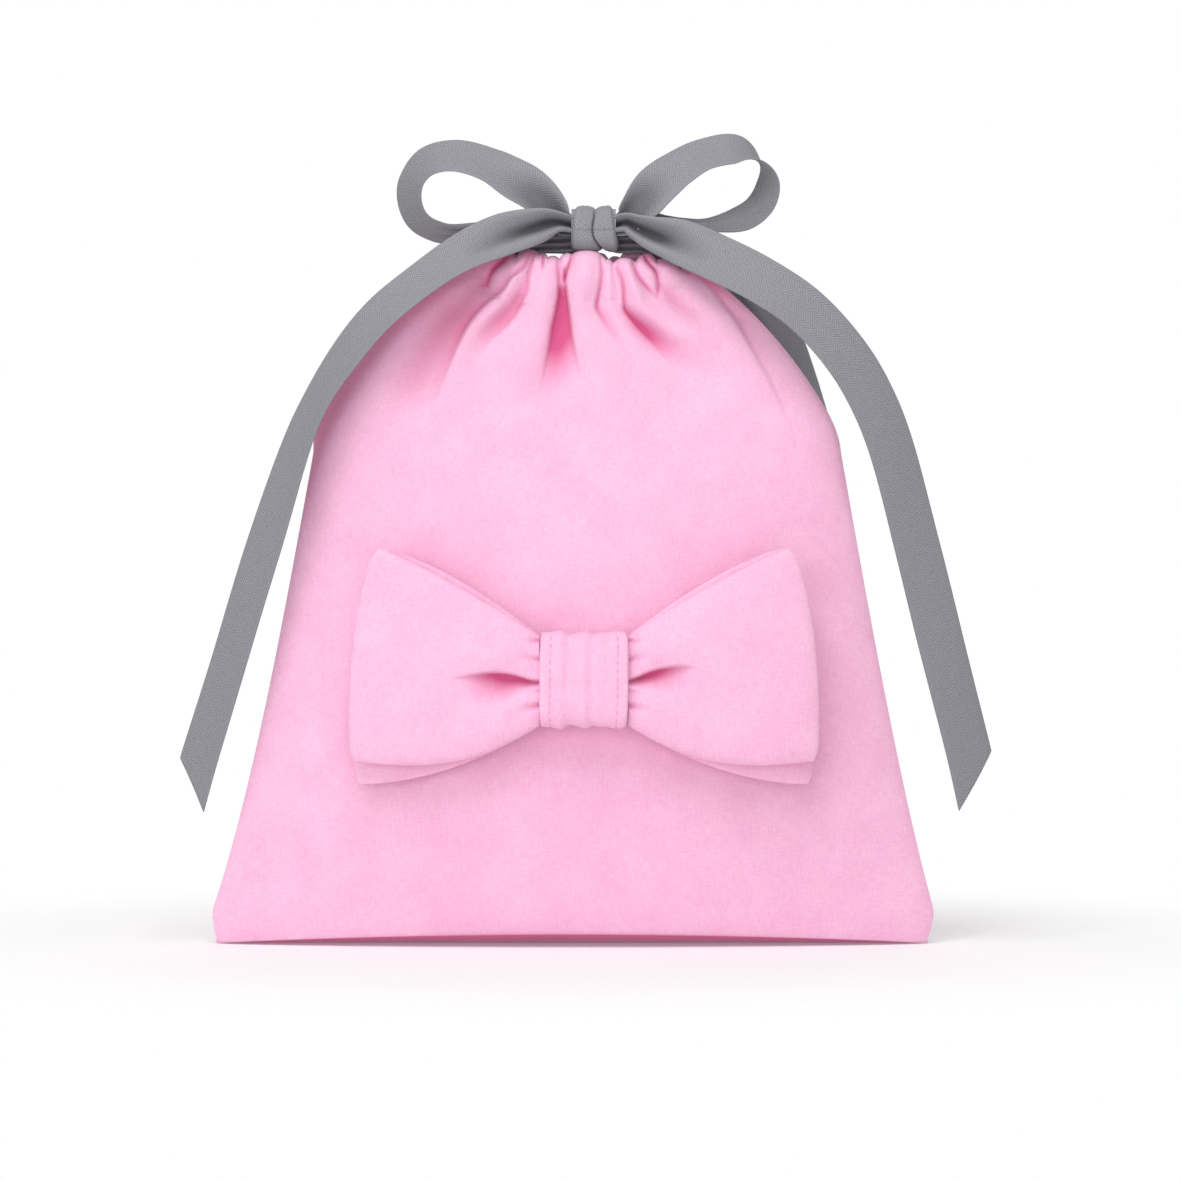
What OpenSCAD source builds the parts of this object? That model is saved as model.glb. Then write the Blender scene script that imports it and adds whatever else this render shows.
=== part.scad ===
// Drawstring shoe bag, closed and standing, with a padded bow sewn to its front.
// Millimetres. Origin on the floor under the middle of the bottom seam, +Z up, the front faces -Y.

/* [Bag] */
// Width of the bag along its bottom seam
bag_w = 300; // [260:1:360]
// Width of the bag where its sides turn in to the gathers
shoulder_w = 220; // [200:1:250]
// Height at which the sides turn in
shoulder_z = 205; // [170:1:225]
// How far the long sides pull in between the corners and the shoulders
side_pull = 2.5; // [0:0.1:6]
// Depth of the filled bag, front to back, at its fullest
belly = 64; // [50:1:84]
// Height of the fullest place
belly_z = 90; // [70:1:120]
// Depth of the part of the bottom that lies on the floor
base_d = 48; // [36:1:60]
// Thickness of the doubled cloth
cloth = 1.2; // [0.8:0.1:1.6]

/* [Gathered mouth] */
// Height at which the casing is stitched to the panels
waist_z = 265; // [255:1:275]
// Width of the gathered casing
neck_w = 90; // [80:1:104]
// How far the neck sits to the right of the bottom's middle
neck_shift = 5; // [0:1:10]
// How far the shoulders stand out past each end of the casing
shoulder_lap = 5; // [3:0.5:8]
// Clear gap between the front and back casings
mouth_gap = 9; // [7:0.5:11]
// Depth of the soft pleats on the panels
pleat = 3.2; // [1:0.1:4]

/* [Drawstring tape] */
// Width of the woven tape
tape_w = 20; // [18:0.5:22]
// Thickness of the tape
tape_t = 1; // [0.8:0.1:1.2]
// Length of the knot's wrap across the tape
knot_w = 18.5; // [17:0.5:20]
// Height of the knot
knot_h = 19; // [17:0.5:21]
// Depth of the knot, front to back
knot_d = 16; // [15:0.5:18]
// Thickness of the knot's wrap
wrap_t = 1.5; // [1:0.1:2]

/* [Sewn bow] */
// Width of the middle band
band_w = 36; // [30:1:42]
// Height of the middle band
band_h = 40; // [36:1:44]
// Thickness of the band's cloth
band_t = 2; // [1.5:0.1:3]
// Height of the bow's middle above the floor
bow_z = 112; // [100:1:124]
// How far the bow sits to the right of the bottom's middle
bow_x = 5; // [0:1:10]
// Length of a wing along its top edge
wing_top = 69; // [60:1:74]
// Length of a wing along its bottom edge
wing_low = 79; // [70:1:84]
// How far a wing's top corner rises above the bow's middle
wing_rise = 54; // [46:1:60]
// How far a front wing's bottom corner drops below the bow's middle
wing_drop = 34; // [28:1:40]
// How much lower the rear wing hangs
rear_drop = 10; // [6:1:14]
// Padded thickness of a wing
wing_t = 9; // [7:0.5:11]

/* [Hidden] */

pink = "#f9b9db";
rose = "#eea3cb";
grey = "#8b8b90";

fit = 0.3;              // gap between pieces that lie against each other
seam_t = 1.6;           // the two plies of a seam allowance
seam_in = 9;            // how far an allowance reaches into the bag
seam_out = 0.8;         // how far its edge shows outside
seam_half = seam_t / 2 + 0.2;   // the panels stand clear of the allowances
slot_t = tape_t + 1;    // room for the tape inside its casing
slot_h = tape_w + 1;
casing_h = slot_h + 2 * cloth;
casing_y = mouth_gap / 2 + cloth + slot_t / 2;  // middle of a casing's slot
casing_z = waist_z + fit + casing_h / 2;
casing_end = 3;         // how far the casings close towards each other at their ends
neck_half = casing_y + slot_t / 2 + cloth + 0.5; // half depth where the panels meet the casings

// Pleats below the casing: place across the neck, place across the body where each runs out,
// height at which it runs out, height of the fold as a share of pleat, width at the neck.
front_pleats = [
  [-0.82, -0.66, 215, 0.9, 9], [-0.48, -0.40, 200, 1.2, 10], [-0.12, 0.06, 170, 1.5, 12],
  [0.22, 0.34, 205, 1.0, 8], [0.52, 0.62, 195, 1.3, 11], [0.84, 0.86, 225, 0.9, 8]];
back_pleats = [
  [-0.78, -0.74, 215, 1.0, 9], [-0.44, -0.30, 190, 1.4, 11], [-0.08, -0.04, 205, 1.0, 9],
  [0.26, 0.20, 175, 1.5, 11], [0.60, 0.62, 210, 1.1, 10], [0.88, 0.80, 225, 0.8, 8]];
ribs = 9;               // folds along each casing
rib_h = 2.4;            // how far they stand out

// ---- small helpers ----
function clamp01(t) = min(1, max(0, t));
function ease(t) = let (c = clamp01(t)) c * c * (3 - 2 * c);
function mix(a, b, t) = a + (b - a) * t;
function unit(v) = v / max(norm(v), 1e-9);

// ---- the bag's outline ----
function half_width(z) = z < shoulder_z
  ? mix(bag_w / 2, shoulder_w / 2, z / shoulder_z) - side_pull * sin(180 * z / shoulder_z)
  : mix(neck_w / 2 + shoulder_lap, shoulder_w / 2,
        sqrt(max(0, 1 - pow((z - shoulder_z) / (waist_z - shoulder_z), 2))));
function half_depth(z) = z < belly_z
  ? mix(base_d / 2, belly / 2, pow(sin(90 * z / belly_z), 0.6))
  : mix(belly / 2, neck_half, ease((z - belly_z) / (waist_z - belly_z)));
function middle(z) = neck_shift * ease((z - shoulder_z) / (waist_z - shoulder_z));
// Across the bag the cloth is a lens low down and squarer at the shoulders.
function crown(u, z) =
  let (square = mix(2, 3.2, ease((z - 150) / 90)))
  pow(max(0, 1 - pow(abs(u), square)), mix(0.8, 0.5, ease((z - 150) / 90)));

// Height of the pleats at a place: each is a round fold that widens and flattens as it runs down.
function fold(d, w) = abs(d) < w ? 0.5 * (1 + cos(180 * d / w)) : 0;
function pleats(u, z, list) = max([for (p = list)
  let (t = clamp01((waist_z - z) / (waist_z - p[2])), w = mix(p[4], 3.5 * p[4], t))
  pleat * p[3] * pow(1 - t, 1.3) * fold((u - mix(p[0], p[1], t)) * half_width(z), w)]);

// A point of a panel: side is -1 for the front, deep is 0 on the outer face and 1 on the inner one.
function panel_point(side, u, z, deep, list) =
  let (w = half_width(z) - 0.5 * cloth * deep,
       y = seam_half + cloth * (1 - deep)
           + (half_depth(z) - seam_half - cloth) * crown(u, z) + pleats(u, z, list) * crown(u, z))
  [middle(z) + w * u, side * y, z];
// A point of the part that lies on the floor, at a share of the way from the seam to the fold.
function base_point(side, u, share, deep) =
  let (y = mix(seam_half, seam_half + cloth * (1 - deep)
           + (base_d / 2 - seam_half - cloth) * crown(u, 0), share))
  [(half_width(0) - 0.5 * cloth * deep) * u, side * y, cloth * deep];

function face_rows(side, deep, list) =
  let (us = [for (i = [0:panel_cols]) sin(90 * mix(-1, 1, i / panel_cols))])
  concat([for (share = [0, 0.5, 1]) [for (u = us) base_point(side, u, share, deep)]],
         [for (z = panel_heights) [for (u = us) panel_point(side, u, z, deep, list)]]);
panel_cols = 26;
panel_heights = concat([3, 9, 20, 36, 56, 80, 106, 132],
                       [for (i = [0:10]) mix(156, waist_z, sin(9 * i))]);

// ---- polyhedron builders ----
// A closed skin between two grids of points of the same size.
module sheet_between(outer, inner) {
  rows = len(outer);
  cols = len(outer[0]);
  n = rows * cols;
  function at(i, j) = i * cols + j;
  points = concat([for (r = outer) each r], [for (r = inner) each r]);
  skin = [for (i = [0:rows - 2], j = [0:cols - 2])
    [at(i, j), at(i + 1, j), at(i + 1, j + 1), at(i, j + 1)]];
  lining = [for (f = skin) [for (k = [3:-1:0]) f[k] + n]];
  ends = [for (j = [0:cols - 2]) each [
    [at(0, j), at(0, j + 1), at(0, j + 1) + n, at(0, j) + n],
    [at(rows - 1, j + 1), at(rows - 1, j), at(rows - 1, j) + n, at(rows - 1, j + 1) + n]]];
  sides = [for (i = [0:rows - 2]) each [
    [at(i + 1, 0), at(i, 0), at(i, 0) + n, at(i + 1, 0) + n],
    [at(i, cols - 1), at(i + 1, cols - 1), at(i + 1, cols - 1) + n, at(i, cols - 1) + n]]];
  polyhedron(points, split(concat(skin, lining, ends, sides)));
}
function split(quads) = [for (f = quads) each [[f[0], f[1], f[2]], [f[0], f[2], f[3]]]];

// A closed skin round a row of rings that all have the same number of points.
module rings_solid(rings) {
  m = len(rings[0]);
  last = len(rings) - 1;
  points = [for (r = rings) each r];
  wall = [for (i = [0:last - 1], j = [0:m - 1])
    [i * m + j, (i + 1) * m + j, (i + 1) * m + (j + 1) % m, i * m + (j + 1) % m]];
  polyhedron(points, concat(split(wall), [for (j = [1:m - 2]) [0, j, j + 1]],
                            [for (j = [1:m - 2]) [last * m, last * m + j + 1, last * m + j]]));
}

// A tube: outer rings and inner rings, open at both ends.
module rings_tube(outer, inner) {
  m = len(outer[0]);
  rows = len(outer);
  n = rows * m;
  points = concat([for (r = outer) each r], [for (r = inner) each r]);
  wall = [for (i = [0:rows - 2], j = [0:m - 1])
    [i * m + j, i * m + (j + 1) % m, (i + 1) * m + (j + 1) % m, (i + 1) * m + j]];
  bore = [for (f = wall) [for (k = [3:-1:0]) f[k] + n]];
  rims = [for (j = [0:m - 1]) each [
    [(j + 1) % m, j, j + n, (j + 1) % m + n],
    [n - m + j, n - m + (j + 1) % m, 2 * n - m + (j + 1) % m, 2 * n - m + j]]];
  polyhedron(points, split(concat(wall, bore, rims)));
}

// ---- the woven tape ----
// A route is a list of [point, direction of the tape's width, width, thickness].
function spline(a, b, c, d, t) =
  0.5 * (2 * b + (c - a) * t + (2 * a - 5 * b + 4 * c - d) * t * t + (3 * b - a - 3 * c + d) * t * t * t);
function along(list, k, t) =
  let (n = len(list) - 1)
  spline(list[max(k - 1, 0)], list[k], list[min(k + 1, n)], list[min(k + 2, n)], t);
function column(route, c) = [for (r = route) r[c]];
function tape_rings(route, steps) =
  let (last = len(route) - 2,
       stops = concat([for (k = [0:last], s = [0:steps - 1]) [k, s / steps]], [[last, 1]]),
       line = [for (s = stops) along(column(route, 0), s[0], s[1])],
       n = len(line) - 1)
  [for (i = [0:n])
    let (s = stops[i],
         run = unit(line[min(i + 1, n)] - line[max(i - 1, 0)]),
         lean = along(column(route, 1), s[0], s[1]),
         across = unit(lean - run * (lean * run)),
         out = cross(run, across),
         a = along(column(route, 2), s[0], s[1]) / 2,
         b = along(column(route, 3), s[0], s[1]) / 2)
    [for (p = [[-a, -b / 2], [b - a, -b], [a - b, -b], [a, -b / 2],
               [a, b / 2], [a - b, b], [b - a, b], [-a, b / 2]])
      line[i] + across * p[0] + out * p[1]]];
module tape(route, steps = 3) { rings_solid(tape_rings(route, steps)); }

// ---- knot and the ends that leave it ----
knot_x = neck_shift + 4;
knot_y = -4;
knot_gap = 0.8;         // the knot hangs just clear of the casings
knot_z = casing_z + casing_h / 2 + knot_gap + knot_h / 2;
knot_r = 6;             // rounding of the knot in side view
pinch_w = 7.6;          // the tape's width and thickness where the knot gathers it
pinch_t = 2.2;
knot_end_t = pinch_t - 0.4;
layer = pinch_t + 0.8;  // the ends leave the knot in layers, front to back
hinge_z = knot_z + 2;   // the free ends turn about a line through here
side_x = knot_w / 2 + fit + pinch_w / 2;
function layer_y(k) = knot_y - 2 * layer + k * layer;

// ---- nodes ----
module front_panel() {
  color(pink)
    sheet_between(face_rows(-1, 0, front_pleats), face_rows(-1, 1, front_pleats));
}

module back_panel() {
  color(pink) mirror([0, 1, 0])
    sheet_between(face_rows(-1, 0, back_pleats), face_rows(-1, 1, back_pleats));
}

// A side seam's allowance follows the bag's side between the two panels.
module side_seam(side) {
  zs = [for (i = [0:20]) mix(seam_in + 2, waist_z - 2, sin(4.5 * i))];
  edge = [for (z = zs) [middle(z) + side * (half_width(z) + seam_out), z]];
  inner = [for (i = [20:-1:0]) [middle(zs[i]) + side * (half_width(zs[i]) - seam_in), zs[i]]];
  color(rose) rotate([90, 0, 0]) linear_extrude(seam_t, center = true) polygon(concat(edge, inner));
}
module left_seam() { side_seam(-1); }
module right_seam() { side_seam(1); }

module bottom_seam() {
  color(rose) translate([0, 0, seam_in / 2]) cube([bag_w - 2, seam_t, seam_in], center = true);
}

// The gathered casing: a tunnel of cloth round the tape, ribbed outside, plain inside.
casing_cols = 44;
function casing_mid(x) = casing_y - casing_end * pow(abs(2 * x / neck_w), 3);
function rib(x) = rib_h * pow(abs(cos(180 * ribs * (x / neck_w + 0.5) + 90)), 0.7);
function casing_ring(x, grow, swell) =
  let (h = slot_h / 2 + grow, b = slot_t / 2 + grow, y = -casing_mid(x))
  [for (p = [[b, -h], [b, 0], [b, h], [0, h], [-b - 0.4 * swell, h], [-b - swell, 0],
             [-b - 0.6 * swell, -h * 0.7], [-b, -h]]) [neck_shift + x, y + p[0], casing_z + p[1]]];
module casing() {
  places = [for (i = [casing_cols:-1:0]) mix(-neck_w / 2, neck_w / 2, i / casing_cols)];
  color(pink)
    rings_tube([for (x = places) casing_ring(x, cloth, rib(x))], [for (x = places) casing_ring(x, 0, 0)]);
}
module front_casing() { casing(); }
module back_casing() { mirror([0, 1, 0]) casing(); }

module casing_tape() {
  color(grey) tape([for (x = [-1, -0.75, -0.4, 0, 0.4, 0.75, 1] * (neck_w / 2))
    [[neck_shift + x, -casing_mid(x), casing_z], [0, 0, 1], tape_w, tape_t]], 2);
}
module front_casing_tape() { casing_tape(); }
module back_casing_tape() { mirror([0, 1, 0]) casing_tape(); }

module rounded(w, h, r) {
  square([w - 2 * r, h], center = true);
  square([w, h - 2 * r], center = true);
  for (x = [-1, 1], y = [-1, 1]) translate([x * (w / 2 - r), y * (h / 2 - r)]) circle(r, $fn = 48);
}
// A bar along X with a rounded section: depth runs along Y and height along Z.
module bar(length, depth, height, r) {
  rotate([90, 0, 90]) linear_extrude(length, center = true) rounded(depth, height, r);
}

module knot_core() {
  color(grey) translate([knot_x, knot_y, knot_z])
    bar(knot_w, knot_d - 2 * wrap_t - 2 * fit, knot_h - 2 * wrap_t - 2 * fit, knot_r - 1);
}
module knot_wrap() {
  color(grey) translate([knot_x, knot_y, knot_z]) difference() {
    bar(knot_w, knot_d, knot_h, knot_r);
    bar(knot_w + 2, knot_d - 2 * wrap_t, knot_h - 2 * wrap_t, knot_r - wrap_t);
  }
}

// The leads run from the casing's open ends up to the knot, bunched into soft cords.
lead_w = 6.5;
lead_t = 1.8;
lead_z = knot_z - 6;
function lead_start(side, face) =
  [neck_shift + side * (neck_w / 2 + fit), face * casing_mid(neck_w / 2), casing_z];
function lead_end(side, k) = [knot_x + side * (knot_w / 2 + fit), layer_y(k), lead_z];
module short_lead(side, face, k) {
  from = lead_start(side, face);
  to = lead_end(side, k);
  color(grey) tape([
    [from, [0, 0, 1], tape_w - 2, tape_t],
    [from + [side * 1.2, 0, 0], [0, 0, 1], tape_w - 3, tape_t],
    [from + [side * 2.4, 0, 0], [0, face * 0.2, 1], tape_w - 6, tape_t],
    [from + [side * 5.5, face * 0.5, 1], [0, face * 0.7, 0.7], 9, 1.4],
    [from + [side * 8.5, face * 0.3, 4], [0, face, 0], lead_w, lead_t],
    [from + [side * 9, face * 0.3, 9], [0, face, 0], lead_w, lead_t],
    [[from[0] + side * 5, from[1], lead_z - 2.5], [0, face, 0], lead_w, lead_t],
    [[from[0] - side * 3, mix(from[1], to[1], 0.5), lead_z - 1], [0, face * 0.7, 0.7], 5, lead_t],
    [[mix(from[0], to[0], 0.5), to[1], lead_z - 0.5], [0, 0, 1], 5, lead_t],
    [to + [side * 5, 0, 0], [0, 0, 1], 5.5, lead_t],
    [to + [side * 2.5, 0, 0], [0, 0, 1], 6, lead_t],
    [to, [0, 0, 1], 6, lead_t]], 3);
}
module front_left_lead() { short_lead(-1, -1, 3); }
module front_right_lead() { short_lead(1, -1, 3); }
module back_left_lead() { short_lead(-1, 1, 4); }

// The slack end of the back tape hangs behind the right shoulder before it rises to the knot.
module back_right_lead() {
  from = lead_start(1, 1);
  to = lead_end(1, 4);
  color(grey) tape([
    [from, [0, 0, 1], tape_w - 2, tape_t],
    [from + [1.5, 0, 0], [0, 0, 1], tape_w - 2, tape_t],
    [from + [3, 0, 0], [0, 0, 1], tape_w - 2, tape_t],
    [[61, 12, 275], [0.3, 0.3, 0.9], tape_w - 1, tape_t],
    [[71, 20, 260], [0.6, 0.5, 0.5], tape_w, tape_t],
    [[81, 25, 236], [0.5, 0.8, 0.2], tape_w, tape_t],
    [[91, 26, 214], [0.3, 1, 0], tape_w, tape_t],
    [[98, 26, 201], [0.1, 1, 0], tape_w, tape_t],
    [[105, 25, 197], [0, 1, 0], tape_w, tape_t],
    [[111, 24, 203], [0, 1, 0], tape_w, tape_t],
    [[111, 22, 214], [0, 1, 0.1], tape_w, tape_t],
    [[104, 18, 232], [0.4, 0.9, 0.1], tape_w, tape_t],
    [[95, 13, 250], [0.7, 0.5, 0.4], tape_w, tape_t],
    [[80, 9, 270], [0.7, 0.1, 0.7], tape_w, tape_t],
    [[63, 7, 286], [0.6, 0, 0.8], 13, 1.2],
    [[51, 5.5, lead_z + 1], [0.2, 0, 1], 7, 1.6],
    [[38, 3, lead_z], [0, 0, 1], 6, lead_t],
    [to + [5, 0, 0], [0, 0, 1], 6, lead_t],
    [to + [2.5, 0, 0], [0, 0, 1], 6, lead_t],
    [to, [0, 0, 1], 6, lead_t]], 3);
}

// The bow's loops: up and out of the knot, round the tip and back behind.
// Each is drawn from the turning line; its route is centre, direction of the width, width, thickness.
module hinge_end(side, k) {
  translate([knot_x + side * side_x, layer_y(k), hinge_z]) rotate([90, 0, 0])
    cylinder(h = pinch_t, r = pinch_w / 2, center = true, $fn = 48);
}
function hinge_point(side, k) = [knot_x + side * side_x, layer_y(k), hinge_z];
left_loop_route = [
  [hinge_point(-1, 1), [0.6, 0, 1], pinch_w - 1, knot_end_t],
  [[-12, -5, 310], [0.5, -0.2, 0.8], 11, 1.6],
  [[-23, -2, 317], [0.4, -0.5, 0.7], 17, 1.1],
  [[-38, 1, 326], [0.1, -0.75, 0.6], tape_w, tape_t],
  [[-51, 2, 329], [-0.2, -0.8, 0.6], tape_w, tape_t],
  [[-62, 3, 326], [-0.5, -0.8, 0.3], tape_w, tape_t],
  [[-67, 3, 316], [-0.55, -0.85, 0], tape_w, tape_t],
  [[-66, 4, 306], [-0.3, -0.95, 0.1], tape_w, tape_t],
  [[-58, 4, 301], [0.1, -0.85, 0.4], tape_w, tape_t],
  [[-46, 3, 300], [0.1, -0.6, 0.8], 15, 1.2],
  [[-33, 0, 300], [0, -0.3, 0.95], 11, 1.5],
  [[-20, -3.5, 301], [0, 0, 1], 9, 1.6],
  [hinge_point(-1, 2), [0, 0, 1], pinch_w - 1, knot_end_t]];
right_loop_route = [
  [hinge_point(1, 1), [0.6, 0, -1], pinch_w - 1, knot_end_t],
  [[31, -5, 314], [0.7, -0.3, -0.6], 13, 1.5],
  [[42, -1, 324], [0.5, -0.6, -0.6], 19, 1],
  [[55, 2, 330], [0.3, -0.75, -0.6], tape_w, tape_t],
  [[69, 3, 332], [0.1, -0.8, -0.6], tape_w, tape_t],
  [[79, 3, 327], [0.1, -1, -0.1], tape_w, tape_t],
  [[82, 3, 318], [0.45, -0.9, 0], tape_w, tape_t],
  [[79, 3, 309], [0.5, -0.8, -0.2], tape_w, tape_t],
  [[71, 3, 303], [0.3, -0.8, -0.5], tape_w, tape_t],
  [[58, 2, 300], [0.1, -0.8, -0.6], tape_w, tape_t],
  [[44, 0, 301], [0, -0.6, -0.8], 15, 1.2],
  [[31, -3, 302], [0, -0.2, -1], 10, 1.7],
  [hinge_point(1, 2), [0, 0, -1], pinch_w - 1, knot_end_t]];
module left_loop() {
  color(grey) {
    tape(left_loop_route);
    hinge_end(-1, 1);
    hinge_end(-1, 2);
  }
}
module right_loop() {
  color(grey) {
    tape(right_loop_route);
    hinge_end(1, 1);
    hinge_end(1, 2);
  }
}

// The tails: over the shoulders and down past the sides, each cut off at a slant.
left_tail_route = [
  [hinge_point(-1, 0), [0, 0, 1], pinch_w - 1, knot_end_t],
  [[-15, -12, 299], [-0.1, 0.1, 1], 13, 1.5],
  [[-30, -16, 296], [-0.2, 0.2, 1], 18, 1],
  [[-47, -19, 289], [-0.4, 0.3, 0.9], tape_w, tape_t],
  [[-63, -21, 279], [-0.6, 0.3, 0.8], tape_w, tape_t],
  [[-81, -22, 264], [-0.7, 0.3, 0.7], tape_w, tape_t],
  [[-95, -22, 247], [-0.8, 0.3, 0.5], tape_w, tape_t],
  [[-108, -21, 226], [-0.9, 0.3, 0.4], tape_w, tape_t],
  [[-117, -19, 204], [-1, 0.3, 0.3], tape_w, tape_t],
  [[-129, -16, 165], [-1, 0.3, 0.3], tape_w, tape_t],
  [[-142, -13, 122], [-1, 0.3, 0.3], tape_w, tape_t],
  [[-155, -11, 80], [-1, 0.3, 0.3], tape_w, tape_t],
  [[-161, -10, 58], [-1, 0.3, 0.3], tape_w, tape_t]];
right_tail_route = [
  [hinge_point(1, 0), [0, 0, 1], pinch_w - 1, knot_end_t],
  [[32, -13, 296.5], [0, 0.1, 1], 13, 1.5],
  [[45, -17, 292.5], [0.2, 0.2, 1], 18.5, 1],
  [[60, -20, 286], [0.4, 0.2, 0.9], tape_w, tape_t],
  [[78, -22, 277], [0.4, 0.2, 0.9], tape_w, tape_t],
  [[96, -22, 265], [0.6, 0.2, 0.8], tape_w, tape_t],
  [[112, -21, 249], [0.8, 0.2, 0.6], tape_w, tape_t],
  [[124, -19, 231], [0.9, 0.1, 0.4], tape_w, tape_t],
  [[134, -17, 207], [1, 0.1, 0.3], tape_w, tape_t],
  [[145, -14, 165], [1, 0.1, 0.3], tape_w, tape_t],
  [[155, -12, 123], [1, 0.1, 0.3], tape_w, tape_t],
  [[166, -10, 80], [1, 0.1, 0.3], tape_w, tape_t],
  [[171, -10, 58], [1, 0.1, 0.3], tape_w, tape_t]];
module slant_cut(tip, lean) {
  translate(tip) rotate([0, lean, 0]) translate([0, 0, -50]) cube([120, 60, 100], center = true);
}
module left_tail() {
  color(grey) {
    difference() {
      tape(left_tail_route);
      slant_cut([-154, 0, 59], 60);
    }
    hinge_end(-1, 0);
  }
}
module right_tail() {
  color(grey) {
    difference() {
      tape(right_tail_route);
      slant_cut([164, 0, 57], -60);
    }
    hinge_end(1, 0);
  }
}

// ---- the sewn bow ----
root_r = 5;             // a wing turns about a round root beside the band
root_trim = 2.5;        // the root stops short of the band's top and bottom
wing_gather = 2;        // a wing's edges start this far inside the band's top and bottom
wing_sag = 2.5;         // how far a front wing's bottom edge sags
wing_lay = 7;           // how far a wing's tip lies back towards the bag
rear_swell = 3;         // how far the rear wing's top edge stands above the front one's
rear_short = 2;         // how much shorter the rear wing is
band_r = 7;             // rounding of the band in side view
core_r = 4;
tack_w = 14;
tack_h = 5;
tack_gap = 2;           // the bow hangs clear of the bag's front by this
bow_front = half_depth(bow_z) + tack_gap;
rear_t = wing_t * 0.7;
root_y = -(bow_front + rear_t + fit + root_r);
root_x = band_w / 2 + fit + root_r;
band_d = 2 * (root_r + band_t) + rear_t;
band_y = -(bow_front + band_d / 2);
wing_rows = 14;
wing_cols = 10;

// A wing's edges, as heights from the bow's middle, at a share s of its length.
function wing_upper(s) = mix(band_h / 2 - wing_gather, wing_rise, 1 - pow(1 - s, 1.25));
function wing_lower(s) =
  -mix(band_h / 2 - wing_gather / 2, wing_drop, 1 - pow(1 - s, 3)) - wing_sag * sin(180 * s);
function rear_upper(s) = wing_upper(s) + rear_swell * sin(180 * s);
function rear_lower(s) =
  -mix(band_h / 2 - wing_gather / 2, wing_drop + rear_drop, 1 - pow(1 - s, 2));
// Thickness: round at the root, full in the middle, thin along every edge.
function wing_half(s, v, t) =
  let (edge = pow(max(0, 1 - pow(abs(2 * v - 1), 3)), 0.5), tip = pow(max(0, 1 - pow(s, 6)), 0.5))
  0.8 + (t / 2 - 0.8) * edge * tip;

module wing(rear) {
  t = rear ? rear_t : wing_t;
  grid = [for (side = [-1, 1]) [for (i = [0:wing_rows]) [for (j = [0:wing_cols])
    let (s = pow(i / wing_rows, 1.3), v = 0.5 - 0.5 * cos(180 * j / wing_cols),
         span = mix(wing_low, wing_top, pow(v, 2.8)) - root_r - (rear ? rear_short : 0),
         x = span * s,
         z = rear ? mix(rear_lower(s), rear_upper(s), v) : mix(wing_lower(s), wing_upper(s), v),
         flat_y = rear ? root_r + fit + rear_t / 2 : 0,
         lay = wing_lay * s * s,
         h = (i == 0 && !rear) ? root_r * 0.9 : wing_half(s, v, t))
    [x, flat_y + lay + side * h, z]]]];
  translate([-root_x, root_y, 0]) mirror([1, 0, 0]) {
    sheet_between(grid[1], grid[0]);
    if (!rear) translate([0, 0, root_trim - band_h / 2])
      cylinder(h = band_h - 2 * root_trim, r = root_r, $fn = 48);
  }
}
module left_wing(rear) { color(pink) translate([bow_x, 0, bow_z]) wing(rear); }
module right_wing(rear) { color(pink) translate([bow_x, 0, bow_z]) mirror([1, 0, 0]) wing(rear); }
module front_left_wing() { left_wing(false); }
module rear_left_wing() { left_wing(true); }
module front_right_wing() { right_wing(false); }
module rear_right_wing() { right_wing(true); }

module bow_core() {
  color(rose) translate([bow_x, band_y, bow_z])
    bar(band_w, band_d - 2 * band_t - 2 * fit, band_h - 2 * band_t - 2 * fit, core_r);
}
module bow_band() {
  color(pink) translate([bow_x, band_y, bow_z]) difference() {
    bar(band_w, band_d, band_h, band_r);
    bar(band_w + 2, band_d - 2 * band_t, band_h - 2 * band_t, band_r - band_t);
  }
}
// The bar tack that holds the band to the front panel.
module bow_tack() {
  color(rose) translate([bow_x, -bow_front + tack_gap / 2, bow_z])
    cube([tack_w, tack_gap - 2 * fit, tack_h], center = true);
}

front_panel();
back_panel();
left_seam();
right_seam();
bottom_seam();
front_casing();
back_casing();
front_casing_tape();
back_casing_tape();
knot_core();
knot_wrap();
front_left_lead();
front_right_lead();
back_left_lead();
back_right_lead();
left_loop();
right_loop();
left_tail();
right_tail();
front_left_wing();
front_right_wing();
rear_left_wing();
rear_right_wing();
bow_core();
bow_band();
bow_tack();
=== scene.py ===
# %% [markdown]
# # A drawstring shoe bag with a padded bow
#
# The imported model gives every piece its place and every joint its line.
# This file dresses it: each soft piece is a parametric surface worked out with numpy.
#
# Lists of places are in millimetres, in the frame's own axes.
# X runs to the right, -Y to the front and Z up from the floor.
# Meshes are made in metres.

import math

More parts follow.
